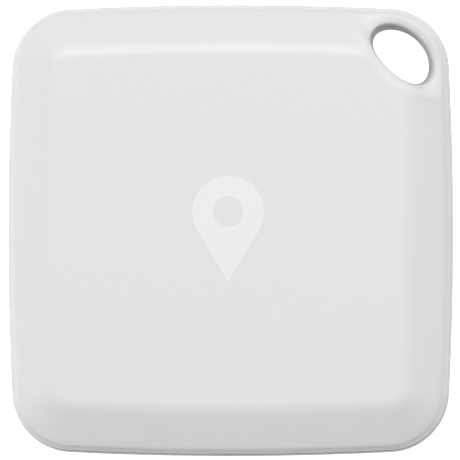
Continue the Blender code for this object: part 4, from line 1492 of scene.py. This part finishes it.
class TAG_OT_switch(bpy.types.Operator):
    """Make the press switch: tray, cover, snap dome and plunger"""

    bl_idname = "tag.switch"
    bl_label = "Press switch"

    def execute(self, context):
        black, steel = finish("black_moulding"), finish("tinned_steel")
        x, y = centre_of("switch_plunger").xy
        corner = 0.4 * MM
        low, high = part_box("switch_base")
        base = new_object("switch_base_skin", rounded_block(low, high, corner, 0.06 * MM))
        tray, tray_floor = 1.7 * MM, 3.95 * MM
        combine(base, "DIFFERENCE", turned(((tray, tray_floor), (tray, 5 * MM)), 64, x, y))
        finish_piece(base, "rear_case", black, ["switch_base"])

        low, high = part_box("switch_cover")
        cover = new_object("switch_cover_skin", rounded_block(low, high, corner, 0.05 * MM))
        opening = 1.05 * MM
        combine(cover, "DIFFERENCE", turned(((opening, 4 * MM), (opening, 6 * MM)), 64, x, y))
        for side in (-1, 1):
            tab_x = x + side * ((high.x - low.x) / 2 + 0.05 * MM)
            plan = rounded_rectangle(0.1 * MM, 1.6 * MM, 0.03 * MM, tab_x, y)
            combine(cover, "UNION", prism(plan, 4.0 * MM, high.z - 0.03 * MM))
        finish_piece(cover, "rear_case", steel, ["switch_cover"])

        low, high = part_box("switch_dome")
        radius = (high.x - low.x) / 2
        steps, foot, least = 10, 0.03 * MM, 0.02 * MM
        profile = [(radius - least, low.z), (radius, low.z + least)]
        for i in range(steps + 1):
            share = 1 - i / steps
            z = low.z + foot + (high.z - low.z - foot) * (1 - share**2)
            profile.append((max(radius * share, least), z))
        dome = new_object("switch_dome_skin", turned(profile, 48, x, y))
        finish_piece(dome, "rear_case", steel, ["switch_dome"])
        press_squash(dome)

        low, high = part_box("switch_plunger")
        flange, stem, soft = 1.4 * MM, 0.9 * MM, 0.04 * MM
        flange_top, fillet = low.z + 0.14 * MM, 0.05 * MM
        profile = rounded_edge(flange, low.z, soft, -1) + rounded_edge(flange, flange_top, soft, 1)
        profile += [(stem + fillet, flange_top), (stem, flange_top + fillet)]
        profile += rounded_edge(stem, high.z, 0.14 * MM, 1, 6)
        plunger = new_object("switch_plunger_skin", turned(profile, 64, x, y))
        finish_piece(plunger, "switch_plunger", black, ["switch_plunger"])
        return {"FINISHED"}


def press_squash(obj):
    """Gives a piece a copy of its mesh of its own; it is not shortened."""
    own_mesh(obj)


class TAG_OT_sounder(bpy.types.Operator):
    """Make the piezo sounder: brass plate, silvered ceramic disc and tape ring"""

    bl_idname = "tag.sounder"
    bl_label = "Sounder"

    def execute(self, context):
        pieces = (
            # node, slot, finish, rounding
            ("piezo_plate", "plate_brass", "rolled_brass", 0.05),
            ("piezo_ceramic", "piezo_ceramic", "silvered_ceramic", 0.03),
        )
        for node, slot, look, soft in pieces:
            low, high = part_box(node)
            centre, radius = (low + high) / 2, (high.x - low.x) / 2
            profile = rounded_edge(radius, low.z, soft * MM, -1)
            profile += rounded_edge(radius, high.z, soft * MM, 1)
            obj = new_object(node + "_skin", turned(profile, 128, centre.x, centre.y))
            finish_piece(obj, "front_cover", finish(look), [node])
        low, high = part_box("piezo_tape")
        centre, radius = (low + high) / 2, (high.x - low.x) / 2
        tape = new_object("piezo_tape_skin", round_hoop(
            radius - 1.0 * MM, radius, low.z, high.z, 0.03 * MM, 128, centre.x, centre.y
        ))
        finish_piece(tape, "front_cover", finish("white_tape"), ["piezo_tape"])
        # The printed electrode: a thin film under the ceramic
        low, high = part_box("piezo_ceramic")
        centre = (low + high) / 2
        profile = ((4.2 * MM, low.z - 0.012 * MM), (4.25 * MM, low.z + 0.02 * MM))
        electrode = new_object("piezo_electrode", turned(profile, 96, centre.x, centre.y))
        finish_piece(electrode, "front_cover", finish("silver_print"))
        return {"FINISHED"}


class TAG_OT_springs(bpy.types.Operator):
    """Coil the two springs that join the sounder to the board"""

    bl_idname = "tag.springs"
    bl_label = "Sounder springs"

    def execute(self, context):
        settings = context.scene.tag_inside
        gold = finish("gold_pad")
        tree = spring_tree()
        for number in (1, 2):
            node = f"piezo_spring_{number}"
            low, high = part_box(node)
            centre, wire = (low + high) / 2, settings.spring_wire
            seed = bmesh.new()
            seed.verts.new((0, 0, 0))
            spring = grown(
                node + "_skin", seed, tree, Place=(centre.x, centre.y, low.z + wire),
                Coil_radius=(high.x - low.x) / 2 - wire, Wire_radius=wire,
                Height=high.z - low.z - 2 * wire, Turns=settings.spring_turns, Material=gold,
            )
            finish_piece(spring, "rear_case", gold, [node], angle=60)
            press_squash(spring)
        return {"FINISHED"}


class TAG_OT_seal(bpy.types.Operator):
    """Make the rubber seal that runs round the tongue"""

    bl_idname = "tag.seal"
    bl_label = "Seal"

    def execute(self, context):
        shape = CaseShape(context.scene.tag_case)
        low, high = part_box("shell_seal")
        # It lies on the tongue, a little narrower than it
        gap = 0.02 * MM
        outer, inner = TONGUE_OUTER + gap, TONGUE_INNER - gap
        seal = new_object("shell_seal_skin", sealed_prism(shape, outer, low.z, high.z))
        combine(seal, "DIFFERENCE", sealed_prism(shape, inner, low.z - MM, high.z + MM))
        soften(seal, 0.13 * MM, 4)
        finish_piece(seal, "seal", finish("dark_rubber"), ["shell_seal"])
        return {"FINISHED"}


class TAG_OT_cell_foam(bpy.types.Operator):
    """Make the round foam pad that holds the cell down"""

    bl_idname = "tag.cell_foam"
    bl_label = "Foam pad"

    def execute(self, context):
        low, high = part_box("cell_foam")
        centre, radius = (low + high) / 2, (high.x - low.x) / 2
        soft = 0.3 * MM
        profile = [(radius * 0.3, low.z), (radius * 0.8, low.z + 0.02 * MM)]
        profile += rounded_edge(radius - 0.04 * MM, low.z + 0.04 * MM, soft, -1, 6)
        profile += [(radius, (low.z + high.z) / 2), (radius - 0.05 * MM, high.z - 0.1 * MM)]
        profile += [(radius - 0.12 * MM, high.z)]
        pad = new_object("cell_foam_skin", turned(profile, 128, centre.x, centre.y))
        finish_piece(pad, "front_cover", open_foam(), ["cell_foam"])
        return {"FINISHED"}


class TAG_OT_pin_mark(bpy.types.Operator):
    """Print a plain location pin in the middle of the front"""

    bl_idname = "tag.pin_mark"
    bl_label = "Pin mark"

    def execute(self, context):
        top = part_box("front_shell")[1].z
        bm = pin_outline(9.0 * MM, top + 0.012 * MM, 0.03 * MM)
        mark = new_object("front_pin_mark", bm)
        finish_piece(mark, "front_cover", finish("pale_print"))
        return {"FINISHED"}


def pin_outline(height, top, depth):
    """A drop with its tip down and a round hole in its head."""
    head = height * 0.34
    centre = height / 2 - head
    tip = -height / 2
    reach = centre - tip
    lean = math.asin(head / reach)
    outer = []
    steps = 64
    for i in range(steps + 1):
        angle = -lean + (math.pi + 2 * lean) * i / steps
        outer.append((head * math.cos(angle), centre + head * math.sin(angle)))
    outer.append((0.0, tip))
    hole = circle(head * 0.42, 48, 0.0, centre)
    bm = bmesh.new()
    sheet(bm, whole(outer), whole(hole), [], lambda x, y: top)
    made = bmesh.ops.extrude_face_region(bm, geom=bm.faces[:])
    moved = [item for item in made["geom"] if isinstance(item, bmesh.types.BMVert)]
    bmesh.ops.translate(bm, vec=(0, 0, -depth), verts=moved)
    return bm


# ---------------------------------------------------------------- studio


class TAG_OT_stage(bpy.types.Operator):
    """Make the floor, the lights and the camera"""

    bl_idname = "tag.stage"
    bl_label = "Stage"

    def execute(self, context):
        settings = context.scene.tag_stage
        make_floor()
        make_lights(settings)
        make_camera(settings)
        context.scene.view_settings.view_transform = "Standard"
        return {"FINISHED"}


def make_floor():
    """A round white floor just under the tag that shows near white and gives off a little light."""
    floor_radius, below = 1.5, 0.02 * MM
    seen, given_off = 0.95, 0.2
    bm = bmesh.new()
    rim = [bm.verts.new((x, y, -below)) for x, y in circle(floor_radius, 64)]
    bm.faces.new(rim)
    floor = new_object("floor", bm)
    made, tree, shader = base_material("floor_white", (0.9, 0.9, 0.9), 0.6)
    path = tree.nodes.new("ShaderNodeLightPath")
    glow = tree.nodes.new("ShaderNodeMixShader")
    both = tree.nodes.new("ShaderNodeAddShader")
    tree.links.new(path.outputs["Is Camera Ray"], glow.inputs["Fac"])
    for socket, strength in ((1, given_off), (2, seen)):
        emission = tree.nodes.new("ShaderNodeEmission")
        emission.inputs["Strength"].default_value = strength
        tree.links.new(emission.outputs[0], glow.inputs[socket])
    tree.links.new(shader.outputs[0], both.inputs[0])
    tree.links.new(glow.outputs[0], both.inputs[1])
    tree.links.new(both.outputs[0], tree.nodes["Material Output"].inputs["Surface"])
    floor.data.materials.append(made)


def area_light(name, power, size, place):
    """A rectangular light at a place, turned to face the tag."""
    data = bpy.data.lights.new(name, "AREA")
    data.shape = "RECTANGLE"
    data.size, data.size_y = size
    data.energy = power
    light = bpy.data.objects.new(name, data)
    bpy.context.scene.collection.objects.link(light)
    light.location = place
    light.rotation_euler = facing(Vector(place).normalized())


def facing(out):
    """Turn of a camera or light that stands along out and looks back, with its top towards +Y."""
    across = Vector((0, 1, 0)).cross(out).normalized()
    return Matrix((across, out.cross(across), out)).transposed().to_euler()


def make_lights(settings):
    """Four wide lights, each leaning right and towards the top by its angles, and a dark world."""
    lights = (
        # name, power, size across, size along, lean right, lean towards the top
        ("key_light", settings.key_power, 0.55, 0.3, -4, 18),
        ("right_light", settings.right_power, 0.5, 1.0, 32, 0),
        ("corner_light", settings.corner_power, 0.5, 0.5, 28, 28),
        ("left_light", settings.left_power, 0.5, 1.0, -72, 0),
    )
    for name, power, across, along, right, top in lights:
        right, top = math.radians(right), math.radians(top)
        level = math.cos(top)
        out = Vector((math.sin(right) * level, math.sin(top), math.cos(right) * level))
        area_light(name, power, (across, along), out * settings.light_reach)
    world = bpy.data.worlds.new("studio_air")
    world.use_nodes = True
    world.node_tree.nodes["Background"].inputs["Strength"].default_value = 0
    bpy.context.scene.world = world


def make_camera(settings):
    """A camera above the tag's front, stepped a little aside, with its top towards +Y."""
    data = bpy.data.cameras.new("camera")
    data.sensor_width = 36
    data.lens = data.sensor_width * settings.distance / settings.view_width
    data.clip_start = 0.01
    camera = bpy.data.objects.new("camera", data)
    bpy.context.scene.collection.objects.link(camera)
    aim = Vector((0, 0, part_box("front_shell")[1].z / 2))
    out = Vector((math.sin(settings.turn), -math.sin(settings.drop), 1)).normalized()
    camera.location = aim + out * settings.distance
    camera.rotation_euler = facing(out)
    bpy.context.scene.camera = camera


# ---------------------------------------------------------------- add-on


OPERATORS = (
    TAG_OT_rear_shell,
    TAG_OT_board,
    TAG_OT_board_parts,
    TAG_OT_board_metal,
    TAG_OT_screws,
    TAG_OT_contacts,
    TAG_OT_coin_cell,
    TAG_OT_switch,
    TAG_OT_sounder,
    TAG_OT_springs,
    TAG_OT_seal,
    TAG_OT_cell_foam,
    TAG_OT_front_shell,
    TAG_OT_pin_mark,
    TAG_OT_stage,
)


class TAG_PT_panel(bpy.types.Panel):
    """Lists the tag's operators in the order in which they run"""

    bl_label = "Tracker tag"
    bl_idname = "TAG_PT_panel"
    bl_space_type = "VIEW_3D"
    bl_region_type = "UI"
    bl_category = "Tracker tag"

    def draw(self, context):
        for operator in OPERATORS:
            self.layout.operator(operator.bl_idname)


CLASSES = (TagCaseSettings, TagInsideSettings, TagStageSettings) + OPERATORS + (TAG_PT_panel,)


def register():
    """Makes the classes and the scene's settings known to Blender."""
    for cls in CLASSES:
        bpy.utils.register_class(cls)
    bpy.types.Scene.tag_case = PointerProperty(type=TagCaseSettings)
    bpy.types.Scene.tag_inside = PointerProperty(type=TagInsideSettings)
    bpy.types.Scene.tag_stage = PointerProperty(type=TagStageSettings)


def unregister():
    """Takes back what register did, in reverse."""
    del bpy.types.Scene.tag_stage
    del bpy.types.Scene.tag_inside
    del bpy.types.Scene.tag_case
    for cls in reversed(CLASSES):
        bpy.utils.unregister_class(cls)


def main():
    """Runs every operator in order."""
    register()
    for operator in OPERATORS:
        group, name = operator.bl_idname.split(".")
        getattr(getattr(bpy.ops, group), name)()


if __name__ == "__main__":
    main()
